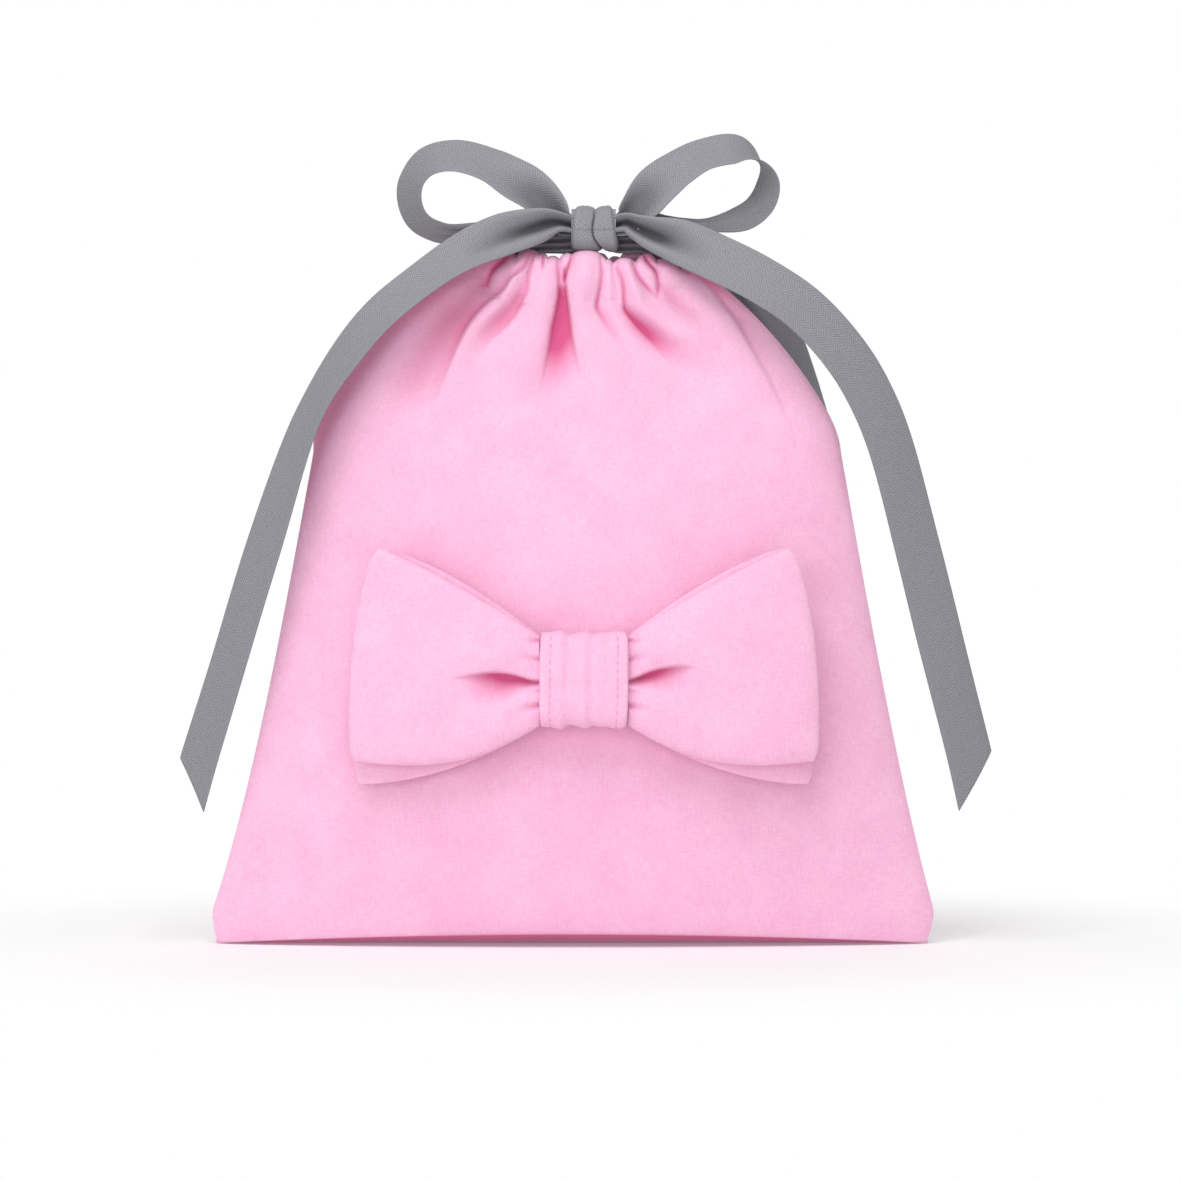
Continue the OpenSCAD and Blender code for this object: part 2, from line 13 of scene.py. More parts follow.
import bpy
import numpy as np
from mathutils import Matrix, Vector


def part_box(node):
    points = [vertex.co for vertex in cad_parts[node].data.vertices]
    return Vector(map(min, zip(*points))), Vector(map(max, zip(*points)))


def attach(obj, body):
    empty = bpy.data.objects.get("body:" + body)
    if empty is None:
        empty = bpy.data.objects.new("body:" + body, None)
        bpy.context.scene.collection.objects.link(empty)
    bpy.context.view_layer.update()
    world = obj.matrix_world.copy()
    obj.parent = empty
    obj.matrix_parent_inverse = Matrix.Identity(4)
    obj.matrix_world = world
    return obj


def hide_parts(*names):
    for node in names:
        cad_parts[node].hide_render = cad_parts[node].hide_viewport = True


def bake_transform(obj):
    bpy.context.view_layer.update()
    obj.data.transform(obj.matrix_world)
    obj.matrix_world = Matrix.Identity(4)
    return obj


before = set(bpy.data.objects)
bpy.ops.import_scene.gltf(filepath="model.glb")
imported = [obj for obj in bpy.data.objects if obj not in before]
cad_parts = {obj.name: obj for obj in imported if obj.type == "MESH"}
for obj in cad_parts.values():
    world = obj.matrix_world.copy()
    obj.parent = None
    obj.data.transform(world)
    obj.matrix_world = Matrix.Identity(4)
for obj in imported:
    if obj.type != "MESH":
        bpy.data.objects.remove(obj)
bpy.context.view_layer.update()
MM = 0.001
PI = math.pi
TAPE_W = 20.0
TAPE_T = 1.0

# %% [markdown]
# ## Small tools
#
# `ease` is the smooth step used for every blend between two values.
# `curve_rows` draws a Catmull-Rom curve through rows of any width, so a route can carry its
# width and its lean along with its place.


# %%
def ease(t):
    """Smooth step: t squared times (3 - 2t), with t held between 0 and 1."""
    t = np.clip(t, 0.0, 1.0)
    return t * t * (3 - 2 * t)


def mix(a, b, t):
    """The value a share t of the way from a to b."""
    return a + (b - a) * t


def bell(x, middle, width):
    """A bell curve: 1 in the middle, 0.37 a width away from it."""
    return np.exp(-(((x - middle) / width) ** 2))


def signed_power(x, power):
    """A power of the size of x, with the sign of x."""
    return np.sign(x) * np.abs(x) ** power


def box_mm(node):
    """The middle and the size of a solid's box, in millimetres."""
    low, high = (np.array(corner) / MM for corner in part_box(node))
    return (low + high) / 2, high - low


def curve_rows(rows, steps=30):
    """Rows along a Catmull-Rom curve that passes through each given row."""
    rows = np.array(rows, float)
    padded = np.vstack([rows[:1], rows, rows[-1:]])
    t = np.linspace(0, 1, steps, endpoint=False)[:, None]
    parts = []
    for a, b, c, d in zip(padded, padded[1:], padded[2:], padded[3:]):
        parts.append(0.5 * (2 * b + (c - a) * t + (2 * a - 5 * b + 4 * c - d) * t**2
                            + (3 * b - a - 3 * c + d) * t**3))
    return np.vstack(parts + [rows[-1:]])


def unit(v):
    """Vectors scaled to length one."""
    return v / np.maximum(np.linalg.norm(v, axis=-1, keepdims=True), 1e-9)


def ripples(x, z, seed, size=0.25, longest=60.0):
    """Soft unevenness of cloth: a sum of a dozen plane waves in fixed directions."""
    rng = np.random.default_rng(seed)
    total = np.zeros_like(x)
    for k in range(12):
        angle = rng.uniform(0, PI)
        length = longest * 0.82**k
        phase = rng.uniform(0, 2 * PI)
        total += np.sin((x * math.cos(angle) + z * math.sin(angle)) * 2 * PI / length + phase) * 0.9**k
    return size * total / 3


# %% [markdown]
# ## Meshes from grids
#
# A grid is rows x columns x 3 in millimetres.
# Each vertex also gets its place on the flat cloth, in metres, as the UV map `weave`,
# and may get painted shade, deepest in folds and hollows, as the attribute `crease`.


# %%
def grid_faces(rows, cols, close=False):
    """Quads between neighbouring rows and columns, with the last column joined to the first if asked."""
    i, j = np.meshgrid(np.arange(rows - 1), np.arange(cols if close else cols - 1), indexing="ij")
    after = (j + 1) % cols
    low, high = i * cols, (i + 1) * cols
    return np.stack([low + j, low + after, high + after, high + j], -1).reshape(-1, 4)


def ring_faces(rows, cols):
    """Quads of a grid whose last row is joined to its first."""
    j, last = np.arange(cols - 1), (rows - 1) * cols
    return np.vstack([grid_faces(rows, cols), np.stack([last + j, last + j + 1, j + 1, j], -1)])


def mesh_object(name, points, faces, flat, material, crease=None):
    """A smooth-shaded object from points in mm, quads, flat-cloth places in metres and painted shade."""
    mesh = bpy.data.meshes.new(name)
    mesh.from_pydata((points.reshape(-1, 3) * MM).tolist(), [], [list(map(int, f)) for f in faces])
    layer = mesh.uv_layers.new(name="weave")
    corner = np.empty(len(mesh.loops), np.int32)
    mesh.loops.foreach_get("vertex_index", corner)
    layer.data.foreach_set("uv", flat.reshape(-1, 2)[corner].astype(np.float32).ravel())
    mesh.polygons.foreach_set("use_smooth", np.ones(len(mesh.polygons), bool))
    mesh.materials.append(material)
    # Painted shade, which the materials blend in as their shade colour.
    if crease is not None:
        painted_shade = mesh.attributes.new("crease", "FLOAT", "POINT")
        painted_shade.data.foreach_set("value", crease.ravel().astype(np.float32))
    mesh.validate()
    obj = bpy.data.objects.new(name, mesh)
    bpy.context.collection.objects.link(obj)
    return obj


def thicken(obj, thickness, offset=-1.0):
    """Gives a single layer of cloth its thickness, in millimetres, behind its face."""
    solid = obj.modifiers.new("cloth", "SOLIDIFY")
    solid.thickness = thickness * MM
    solid.offset = offset


def dress(obj, nodes, body=None):
    """Says which solids a piece stands for and the body it rides on."""
    if nodes:
        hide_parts(*nodes)
    if body:
        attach(obj, body)


# %% [markdown]
# ## Materials
#
# The pink cloth is a fine plain weave with thick and thin threads and a little mottling.
# The tape is a herringbone twill: diagonal ribs that turn back at each column, between two selvedges.
# Both read the `weave` map, so the threads run with the cloth.
# `crease` carries painted shade: it blends in a deeper colour at the bottom of a fold, where light passes
# from cloth to cloth, and wherever else a piece lies in shade.


# %%
def linear(colour):
    """Linear RGBA from an sRGB hex string: c / 12.92 when small, else ((c + 0.055) / 1.055) ** 2.4."""
    parts = [int(colour[k : k + 2], 16) / 255 for k in (1, 3, 5)]
    return [c / 12.92 if c <= 0.04045 else ((c + 0.055) / 1.055) ** 2.4 for c in parts] + [1.0]


class Nodes:
    """Short calls for building the node tree of a material or of the air."""

    def __init__(self, owner):
        owner.use_nodes = True
        self.tree = owner.node_tree

    def put(self, node, inputs):
        """Sets a node's inputs to values, or links them to sockets."""
        for key, value in inputs.items():
            if isinstance(value, bpy.types.NodeSocket):
                self.tree.links.new(value, node.inputs[key])
            else:
                node.inputs[key].default_value = value

    def add(self, kind, inputs=None, **settings):
        """A new node with its settings and its inputs."""
        node = self.tree.nodes.new("ShaderNode" + kind)
        for key, value in settings.items():
            setattr(node, key, value)
        self.put(node, inputs or {})
        return node

    def math(self, operation, a, b=0.0, c=0.0):
        return self.add("Math", {0: a, 1: b, 2: c}, operation=operation).outputs[0]

    def wave(self, value, length):
        """A sine wave of a value, between 0 and 1, with its length in the value's own unit."""
        turn = self.math("SINE", self.math("MULTIPLY", value, 2 * PI / length))
        return self.math("MULTIPLY_ADD", turn, 0.5, 0.5)

    def weave(self):
        """The two flat-cloth coordinates in millimetres."""
        split = self.add("SeparateXYZ", {0: self.add("UVMap", uv_map="weave").outputs[0]})
        return [self.math("MULTIPLY", split.outputs[k], 1 / MM) for k in (0, 1)]

    def noise(self, scale, detail=3.0):
        """Noise in the object's own space, with scale in features a metre."""
        place = self.add("TexCoord").outputs["Object"]
        return self.add("TexNoise", {"Scale": scale, "Detail": detail, "Vector": place}).outputs["Fac"]

    def slubs(self, across, along):
        """Thick and thin threads: noise 0.6 mm wide and 5 mm long."""
        place = self.add("CombineXYZ", {0: self.math("MULTIPLY", across, 1.6),
                                        1: self.math("MULTIPLY", along, 0.2)})
        return self.add("TexNoise", {"Scale": 1.0, "Vector": place.outputs[0]}).outputs["Fac"]

    def colour(self, factor, low, high):
        """A colour between low and high by factor."""
        low, high = (linear(c) if isinstance(c, str) else c for c in (low, high))
        return self.add("Mix", {0: factor, 6: low, 7: high}, data_type="RGBA").outputs[2]

    def bump(self, height, distance, strength, before=None):
        """A bump of a height between 0 and 1 that stands for distance millimetres."""
        inputs = {"Strength": strength, "Distance": distance * MM, "Height": height}
        if before is not None:
            inputs["Normal"] = before
        return self.add("Bump", inputs).outputs[0]

    def fabric(self, colour, shade_colour, normal, roughness, sheen):
        """Matte fibre with a little sheen, its colour blended by `crease` to a painted shade colour."""
        crease = self.add("Attribute", attribute_name="crease").outputs["Fac"]
        self.put(self.tree.nodes["Principled BSDF"], {
            "Base Color": self.colour(crease, colour, shade_colour), "Normal": normal, "Roughness": roughness,
            "Specular IOR Level": 0.15, "Sheen Weight": sheen, "Sheen Roughness": 0.6})


def cloth_material(name, low, high, shade_colour, pitch=0.6):
    """Plain weave: the product of a wave along each thread direction, over slubs and soft mottling."""
    material = bpy.data.materials.new(name)
    m = Nodes(material)
    across, along = m.weave()
    warp, weft = (m.math("SINE", m.math("MULTIPLY", way, 2 * PI / pitch)) for way in (across, along))
    threads = m.math("MULTIPLY_ADD", m.math("MULTIPLY", warp, weft), 0.5, 0.5)
    fibre = m.noise(900, 4)
    shade = m.math("MULTIPLY_ADD", threads, 0.2, -0.4)
    for part, weight in ((fibre, 0.35), (m.noise(60, 3), 0.35),
                         (m.slubs(across, along), 0.4), (m.slubs(along, across), 0.4)):
        shade = m.math("MULTIPLY_ADD", part, weight, shade)
    normal = m.bump(fibre, 0.25, 0.35, m.bump(threads, 0.08, 0.5))
    m.fabric(m.colour(shade, low, high), shade_colour, normal, 0.9, 0.12)
    return material


def tape_material(name, low, high, rim, shade_colour):
    """Herringbone twill: ribs that lean one way, then the other, in columns between the selvedges."""
    column, rib_gap, rib_lean, yarn_gap, selvedge = 3.33, 1.3, 0.9, 0.5, 0.9
    material = bpy.data.materials.new(name)
    m = Nodes(material)
    across, along = m.weave()
    zigzag = m.math("MULTIPLY_ADD", m.math("PINGPONG", across, column), rib_lean, along)
    ribs, yarn = m.wave(zigzag, rib_gap), m.wave(across, yarn_gap)
    weave = m.math("MULTIPLY_ADD", yarn, 0.25, m.math("MULTIPLY", ribs, 0.75))
    off_middle = m.math("ABSOLUTE", m.math("SUBTRACT", across, TAPE_W / 2))
    edge = m.math("GREATER_THAN", off_middle, TAPE_W / 2 - selvedge)
    fibre = m.noise(1300, 3)
    shade = m.math("MULTIPLY_ADD", fibre, 0.4, m.math("MULTIPLY", weave, 0.6))
    normal = m.bump(fibre, 0.15, 0.15, m.bump(weave, 0.3, 0.5))
    m.fabric(m.colour(edge, m.colour(shade, low, high), rim), shade_colour, normal, 0.8, 0.1)
    return material


# Painted shade: the last colour of each material is the one blended in where `crease` is high.
PAINTED_SHADE_PINK = "#cf5a8a"
PINK = cloth_material("pink_cloth", "#e296bd", "#ffd4ec", PAINTED_SHADE_PINK)
SEAM_PINK = cloth_material("seam_cloth", "#e8a2c6", "#f4b8d8", PAINTED_SHADE_PINK)
THREAD = cloth_material("pink_thread", "#e79cc2", "#f2b4d4", PAINTED_SHADE_PINK, 0.4)
TAPE = tape_material("grey_tape", "#69696f", "#a3a3a9", "#8c8c92", "#343338")
print("materials:", [m.name for m in (PINK, SEAM_PINK, TAPE, THREAD)])

# %% [markdown]
# ## Camera
#
# It looks from the front at the middle of the bag, from barely above level, through a long lens.

# %%
AIM = Vector((0.0077, 0.0, 0.1475))
REACH = 2.744
RISE = math.radians(1.5)
camera_data = bpy.data.cameras.new("camera")
camera_data.lens = 200
camera_data.sensor_width = 36
camera = bpy.data.objects.new("camera", camera_data)
camera.location = AIM + REACH * Vector((0, -math.cos(RISE), math.sin(RISE)))
camera.rotation_euler = (AIM - camera.location).to_track_quat("-Z", "Y").to_euler()
bpy.context.collection.objects.link(camera)
bpy.context.scene.camera = camera
bpy.context.scene.view_settings.view_transform = "Standard"
print("camera:", camera.location[:])

# %% [markdown]
# ## Light
#
# One soft lamp stands high in front, and weaker ones fill from low down in front and from behind.
# The air lights everything a little, and is white where the camera sees it.


# %%
def lamp(name, place, target, size, power):
    """A white square area lamp at a place, in metres, that faces a target."""
    data = bpy.data.lights.new(name, "AREA")
    data.size = size
    data.energy = power
    obj = bpy.data.objects.new(name, data)
    obj.location = place
    obj.rotation_euler = (Vector(target) - Vector(place)).to_track_quat("-Z", "Y").to_euler()
    bpy.context.collection.objects.link(obj)


lamp("key", (-0.2, -1.2, 1.8), (0, 0, 0.15), 1.3, 23)
lamp("left_fill", (-1.0, -1.75, 0.3), (0, 0, 0.13), 1.5, 13)
lamp("front_fill", (0.1, -2.0, 0.1), (0, 0, 0.13), 1.4, 5.5)
lamp("back_fill", (0.2, 1.6, 1.0), (0, 0, 0.15), 1.4, 7)

world = bpy.data.worlds.new("air")
bpy.context.scene.world = world
air = Nodes(world)
seen = air.add("LightPath").outputs["Is Camera Ray"]
strength = air.add("Mix", {0: seen, 2: 0.5, 3: 1.0}).outputs[0]
air.put(world.node_tree.nodes["Background"], {"Color": (1, 1, 1, 1), "Strength": strength})
print("lamps:", sorted(light.name for light in bpy.data.lights))

# %% [markdown]
# ## Floor
#
# Near the bag the floor takes its shadow and the pink that it throws back.
# Further out the floor glows as white as the air behind.
# These sizes are in metres.

# %%
FLOOR_HALF = 6.0
FLOOR_Z = -0.0004
SHADOW_REACH = 0.17
WHITE_REACH = 0.38
floor_material = bpy.data.materials.new("white_floor")
ground = Nodes(floor_material)
near_shader = floor_material.node_tree.nodes["Principled BSDF"]
ground.put(near_shader, {"Roughness": 1.0, "Specular IOR Level": 0.0, "Emission Color": (1, 1, 1, 1),
                         "Emission Strength": 0.14})
place = ground.add("TexCoord").outputs["Object"]
reach = ground.add("VectorMath", {0: place}, operation="LENGTH").outputs["Value"]
fade = ground.add("MapRange", {"Value": reach, "From Min": SHADOW_REACH, "From Max": WHITE_REACH},
                  interpolation_type="SMOOTHSTEP").outputs["Result"]
blend = ground.add("MixShader", {0: fade, 1: near_shader.outputs[0], 2: ground.add("Emission").outputs[0]})
ground.put(floor_material.node_tree.nodes["Material Output"], {"Surface": blend.outputs[0]})
floor_mesh = bpy.data.meshes.new("floor")
floor_corners = [(x * FLOOR_HALF, y * FLOOR_HALF, FLOOR_Z) for x, y in ((-1, -1), (1, -1), (1, 1), (-1, 1))]
floor_mesh.from_pydata(floor_corners, [], [(0, 1, 2, 3)])
floor_mesh.materials.append(floor_material)
floor = bpy.data.objects.new("floor", floor_mesh)
bpy.context.collection.objects.link(floor)

# %% [markdown]
# ## The tape's routes
#
# Each row is a place on the tape's middle line, the direction of its width, and its width there.
# The rows follow those of the solids and go on into the knot.

# %%
PLAY = 0.3  # left free between neighbouring solids
PINCH_W = 7.6  # the folded tape where it turns beside the knot
KNOT, KNOT_SIZE = box_mm("knot_wrap")
CASING, CASING_SIZE = box_mm("front_casing")
TURN_X = KNOT_SIZE[0] / 2 + PLAY + PINCH_W / 2
TURN_Z = KNOT[2] + 2
LEAD_Z = KNOT[2] - 6
NECK_X, NECK_W = CASING[0], CASING_SIZE[0]
CASING_Z = CASING[2]


def layer_y(k):
    """Where the tape's ends leave the knot: in layers 3 mm apart, front to back."""
    return KNOT[1] - 6 + 3 * k


def knot_end(side, k, lean_x=0.0, up=1, width=8.0):
    """Two rows for a loop or a tail: inside the knot, then where it turns beside the knot."""
    return [[KNOT[0] + side * 6, mix(KNOT[1], layer_y(k), 0.5), TURN_Z - 2, lean_x * 0.5, 0, up, 6],
            [KNOT[0] + side * TURN_X, layer_y(k), TURN_Z, lean_x, 0, up, width]]


LEFT_LOOP = knot_end(-1, 1, 0.6, 1, 11) + [
    [-8.5, -6, 306.8, 0.55, 0.1, 0.75, 14],
    [-15, -4.6, 313, 0.5, 0.3, 0.75, 17],
    [-23, -2, 318.5, 0.35, 0.5, 0.75, 19.5],
    [-34, 0.5, 325, 0.2, 0.7, 0.68, 20],
    [-48, 2, 329, -0.03, 0.73, 0.68, 20],
    [-60, 3, 327, -0.36, 0.76, 0.54, 20],
    [-67, 3, 319, -0.54, 0.82, 0.17, 20],
    [-68, 3.5, 310, -0.53, 0.85, -0.05, 20],
    [-64.5, 4, 302, -0.4, 0.88, -0.27, 20],
    [-57, 4, 297.5, -0.15, 0.9, -0.38, 20],
    [-48, 3, 296, 0, 0.88, -0.46, 17],
    [-34, 0, 297, 0, 0.6, -0.8, 12],
    [-20, -3, 299.5, 0, 0.2, -1, 9]] + knot_end(-1, 2, 0, -1)[::-1]
RIGHT_LOOP = knot_end(1, 1, 0.6, -1, 11) + [
    [26, -6.4, 305.2, 0.65, -0.1, -0.75, 14],
    [30, -5.2, 309.7, 0.7, -0.2, -0.7, 17],
    [36, -3, 316.8, 0.6, -0.4, -0.65, 19.5],
    [44, -0.5, 323.5, 0.45, -0.6, -0.6, 20],
    [55, 2, 329.6, 0.3, -0.75, -0.6, 20],
    [69, 3, 332, 0.1, -0.8, -0.6, 20],
    [79, 3, 327, 0.1, -1, -0.1, 20],
    [82, 3, 318, 0.45, -0.9, 0, 20],
    [79, 3, 309, 0.5, -0.8, -0.2, 20],
    [71, 3, 303, 0.3, -0.85, -0.45, 20],
    [58, 2, 300.3, 0.1, -0.95, -0.3, 19],
    [46, -1, 300.8, 0, -0.95, -0.3, 16],
    [36, -3.5, 301.4, 0, -0.7, -0.6, 12],
    [28, -4, 301.2, 0, -0.3, -0.95, 9.5]] + knot_end(1, 2, 0, -1)[::-1]
LEFT_TAIL = knot_end(-1, 0) + [
    [-9.5, -11, 300.8, 0, 0, 1, 12],
    [-16, -13, 299, -0.1, 0.15, 1, 15.5],
    [-30, -16, 295, -0.2, 0.35, 0.9, 19],
    [-46, -19, 288.2, -0.35, 0.6, 0.72, 20],
    [-61.5, -21, 278, -0.45, 0.7, 0.55, 20],
    [-79.3, -22, 263.3, -0.48, 0.72, 0.49, 20],
    [-93.3, -22, 246.5, -0.52, 0.75, 0.42, 20],
    [-106.7, -21, 225.6, -0.55, 0.8, 0.25, 20],
    [-116, -19, 204, -0.62, 0.76, 0.2, 20],
    [-128.5, -16, 165, -0.71, 0.68, 0.2, 20],
    [-141.7, -13, 122, -0.75, 0.63, 0.2, 20],
    [-154.8, -11, 80, -0.75, 0.63, 0.2, 20],
    [-160.8, -10, 58, -0.75, 0.63, 0.2, 20]]
RIGHT_TAIL = knot_end(1, 0) + [
    [27, -11.5, 299, 0, 0.1, 1, 10.5],
    [34, -14, 296, 0.1, 0.15, 1, 14.5],
    [45, -17, 292.5, 0.2, 0.2, 1, 19],
    [60, -20, 286, 0.4, 0.2, 0.9, 20],
    [78, -22, 277, 0.4, 0.2, 0.9, 20],
    [96, -22, 265, 0.6, 0.2, 0.8, 20],
    [111.4, -21, 248.7, 0.8, 0.25, 0.5, 20],
    [123, -19, 230.6, 0.9, 0.28, 0.35, 20],
    [132.8, -17, 206.6, 0.95, 0.3, 0.25, 20],
    [144, -14, 165, 0.95, 0.3, 0.22, 20],
    [154.4, -12, 123, 0.95, 0.3, 0.22, 20],
    [165.5, -10, 80, 0.95, 0.3, 0.22, 20],
    [170.6, -10, 58, 0.95, 0.3, 0.22, 20]]


def casing_y(x):
    """Middle of the tape in its casing, which closes towards the ends by the cube of the distance."""
    return 4.4 - 2.6 * abs(2 * x / NECK_W) ** 3


def casing_rows(face):
    """The stretch of tape inside a casing, from left to right, a little bunched by the gathers."""
    places = np.array([-0.82, -0.65, -0.4, 0, 0.4, 0.65, 0.82]) * NECK_W / 2
    return [[NECK_X + x, face * casing_y(x), CASING_Z - 1, 0, 0, 1, 15] for x in places]


def lead_rows(side, face, k):
    """A lead: up out of the casing's end and over its gathers to the knot, drawn together as a soft cord."""
    x = NECK_X + side * NECK_W / 2
    y = face * 1.6
    end_x = KNOT[0] + side * (KNOT_SIZE[0] / 2 + PLAY)
    end_y = layer_y(k)
    reach = x - end_x
    return [
        [x - side * 4.5, y, CASING_Z + 1.5, -side * 0.4, 0, 1, 11],
        [x - side * 3.6, y * 0.8, CASING_Z + 6, -side * 0.8, 0, 0.6, 8],
        [x - side * 6, y * 0.7, CASING_Z + 11, -side * 0.7, 0, 0.7, 7],
        [end_x + 0.62 * reach, mix(y, end_y, 0.6), CASING_Z + 13, 0, face * 0.3, 1, 7],
        [end_x + 0.3 * reach, end_y, CASING_Z + 15.5, 0, 0, 1, 8.5],
        [end_x, end_y, LEAD_Z, 0, 0, 1, 9],
        [end_x - side * 4, mix(KNOT[1], end_y, 0.5), LEAD_Z + 2, 0, 0, 1, 6]]


SLACK = [
    [NECK_X + NECK_W / 2 - 2, 1.8, CASING_Z, 0, 0, 1, 15],
    [NECK_X + NECK_W / 2 + 5, 5, CASING_Z - 0.5, 0.1, 0.1, 1, 17],
    [61, 12, 274, 0.3, 0.3, 0.9, 19],
    [71, 20, 260, 0.6, 0.5, 0.5, 20],
    [80, 25, 236, 0.5, 0.8, 0.2, 20],
    [90, 26, 214, 0.3, 1, 0, 20],
    [97, 26, 201, 0.1, 1, 0, 20],
    [104, 25, 197, 0, 1, 0, 20],
    [109, 24, 202, 0, 1, 0, 20],
    [109.6, 22, 212, 0, 1, 0.1, 20],
    [106.4, 19.5, 222, 0.1, 1, 0.1, 20],
    [99.5, 16.5, 235, 0.4, 0.85, 0.15, 20],
    [89.5, 12.5, 250.5, 0.65, 0.5, 0.4, 20],
    [77, 9, 268, 0.7, 0.1, 0.7, 19],
    [63, 7, 283, 0.6, 0, 0.8, 14],
    [51, 5.5, LEAD_Z - 2, 0.2, 0, 1, 9],
    [38, 3, LEAD_Z - 1, 0, 0, 1, 7],
    [KNOT[0] + KNOT_SIZE[0] / 2, layer_y(4), LEAD_Z, 0, 0, 1, 7],
    [KNOT[0] + 6, mix(KNOT[1], layer_y(4), 0.5), LEAD_Z + 2, 0, 0, 1, 6]]
FRONT_RUN = lead_rows(-1, -1, 3)[::-1] + casing_rows(-1) + lead_rows(1, -1, 3)
BACK_RUN = lead_rows(-1, 1, 4)[::-1] + casing_rows(1) + SLACK

# %% [markdown]
# ## Weaving the tape along a route
#
# Where the route is narrower than the tape, the tape is folded lengthwise.
# Its section is then a wave, and the wave's height keeps the woven width: a section of width w
# and height h * f(q), with q from -1 to 1, is about w * (1 + (2h / w) squared * mean(f' squared) / 2) long.


# %%
def section_wave(kind, q, share, wander):
    """The shape of the folded section: a tail is scooped, a loop arches and comes back in three ridges."""
    pleats = np.sin(3 * PI * q + wander)
    if kind == "tail":
        return -np.cos(1.25 * PI * q) + 0.25 * np.sin(2.6 * PI * q + wander)
    if kind == "loop":
        return mix(0.8 * np.cos(0.8 * PI * q + 0.3), pleats, ease((share - 0.4) / 0.2))
    return pleats


def tape_frames(route, spacing=1.0):
    """Evenly spaced frames along a route: distance, middle, width direction, face direction, width."""
    dense = curve_rows(route)
    steps = np.linalg.norm(np.diff(dense[:, :3], axis=0), axis=1)
    run_length = np.concatenate([[0], np.cumsum(steps)])
    count = int(run_length[-1] / spacing) + 2
    s = np.linspace(0, run_length[-1], count)
    rows = np.stack([np.interp(s, run_length, dense[:, k]) for k in range(7)], -1)
    middle = rows[:, :3]
    run = unit(np.gradient(middle, axis=0))
    lean = rows[:, 3:6]
    across = unit(lean - run * np.sum(lean * run, -1, keepdims=True))
    return s, middle, across, np.cross(run, across), rows[:, 6]


def painted_tape_shade(kind, rise, travel, length):
    """Painted shade on the tape: in its folds, and along stretches that are turned away from the light."""
    painted_shade = np.clip((rise.max(1, keepdims=True) - rise - 0.3) / 3, 0, 1) * (0.45 if kind == "loop" else 0.9)
    # Painted shade down the tails, round the far ends of the loops and over the whole of the leads.
    if kind == "tail":
        return painted_shade + 0.12 * ease((travel - 60) / 80)
    if kind == "loop":
        return painted_shade + 0.24 * ease((travel / length - 0.36) / 0.16)
    return painted_shade + 0.3


def tape_grid(route, kind, seed, slant, curl, columns=33):
    """Closed skin of a tape: points, quads, flat places and painted shade.
    slant is the lean of a cut end and curl the height of the arched section, in millimetres."""
    s, middle, across, out, width = tape_frames(route)
    share = np.linspace(0, 1, columns)
    reach = s[-1] - slant * share
    travel = (s / s[-1])[:, None] * reach[None, :]

    def at(values):
        return np.stack([np.interp(travel, s, values[:, k]) for k in range(values.shape[1])], -1)

    centre, side, face = at(middle), at(across), at(out)
    w = np.interp(travel, s, width)
    q = 2 * share[None, :] - 1
    ratio = TAPE_W / np.minimum(w, TAPE_W)
    length = reach.max()
    wave = section_wave(kind, q, travel / length, 0.5 * np.sin(travel / 11 + seed))
    steep = np.mean(np.gradient(wave, q[0], axis=1) ** 2, axis=1, keepdims=True)
    fold = 0.8 * w / 2 * np.sqrt(2 * (ratio - 1) / steep) * wave
    flat_share = ease((w - 14) / 6)
    front = -np.sign(face[..., 1])
    if kind == "tail":
        fold = fold * front
    # Painted shade of the tape, in its folds and on stretches away from the light.
    painted_shade = painted_tape_shade(kind, fold * front, travel, length)
    painted_shade = np.concatenate([painted_shade, painted_shade[:, ::-1]], axis=1)
    bow = flat_share * (curl * (1 - q**2) + 0.35 * np.sin(travel / 17 + 1.3 * seed + q))
    thick = TAPE_T * (1 - 0.55 * np.abs(q) ** 10)
    top = centre + side * (q * w / 2)[..., None] + face * (fold + bow + thick / 2)[..., None]
    low = centre + side * (q * w / 2)[..., None] + face * (fold + bow - thick / 2)[..., None]
    ring = np.concatenate([top, low[:, ::-1]], axis=1)
    flat = np.stack([np.broadcast_to(share * TAPE_W, travel.shape), travel], -1) * MM
    flat = np.concatenate([flat, flat[:, ::-1]], axis=1)
    rows, cols = ring.shape[:2]
    faces = grid_faces(rows, cols, close=True).tolist()
    for row, turn in ((0, 1), (rows - 1, -1)):
        for j in range(columns - 1):
            cap = [row * cols + j, row * cols + j + 1, row * cols + cols - 2 - j, row * cols + cols - 1 - j]
            faces.append(cap[::-turn])
    return ring, faces, flat, painted_shade


def tape_piece(name, route, kind, body, nodes, seed, slant=0, curl=0.5):
    """A stretch of tape as its own piece along its route."""
    ring, faces, flat, painted_shade = tape_grid(route, kind, seed, slant, curl)
    obj = mesh_object(name, ring, faces, flat, TAPE, painted_shade)
    dress(obj, nodes, body)


tape_piece("left_loop_tape", LEFT_LOOP, "loop", "left_tape_loop", ["left_loop"], 1)
tape_piece("right_loop_tape", RIGHT_LOOP, "loop", "right_tape_loop", ["right_loop"], 2)
tape_piece("left_tail_tape", LEFT_TAIL, "tail", "left_tape_tail", ["left_tail"], 3,
           slant=18, curl=0.8)
tape_piece("right_tail_tape", RIGHT_TAIL, "tail", "right_tape_tail", ["right_tail"], 4,
           slant=21, curl=0.8)
for face, route, seed, lay in (("front", FRONT_RUN, 5, "taut"), ("back", BACK_RUN, 6, "hanging")):
    nodes = [f"{face}_left_lead", f"{face}_casing_tape", f"{face}_right_lead"]
    tape_piece(f"{face}_tape", route, "lead", "bag", nodes, seed)

# %% [markdown]
# ## The knot
#
# One turn of tape goes round the knot from top to bottom.
# A crease down its middle gives it two lobes, and its edges roll in at both sides.


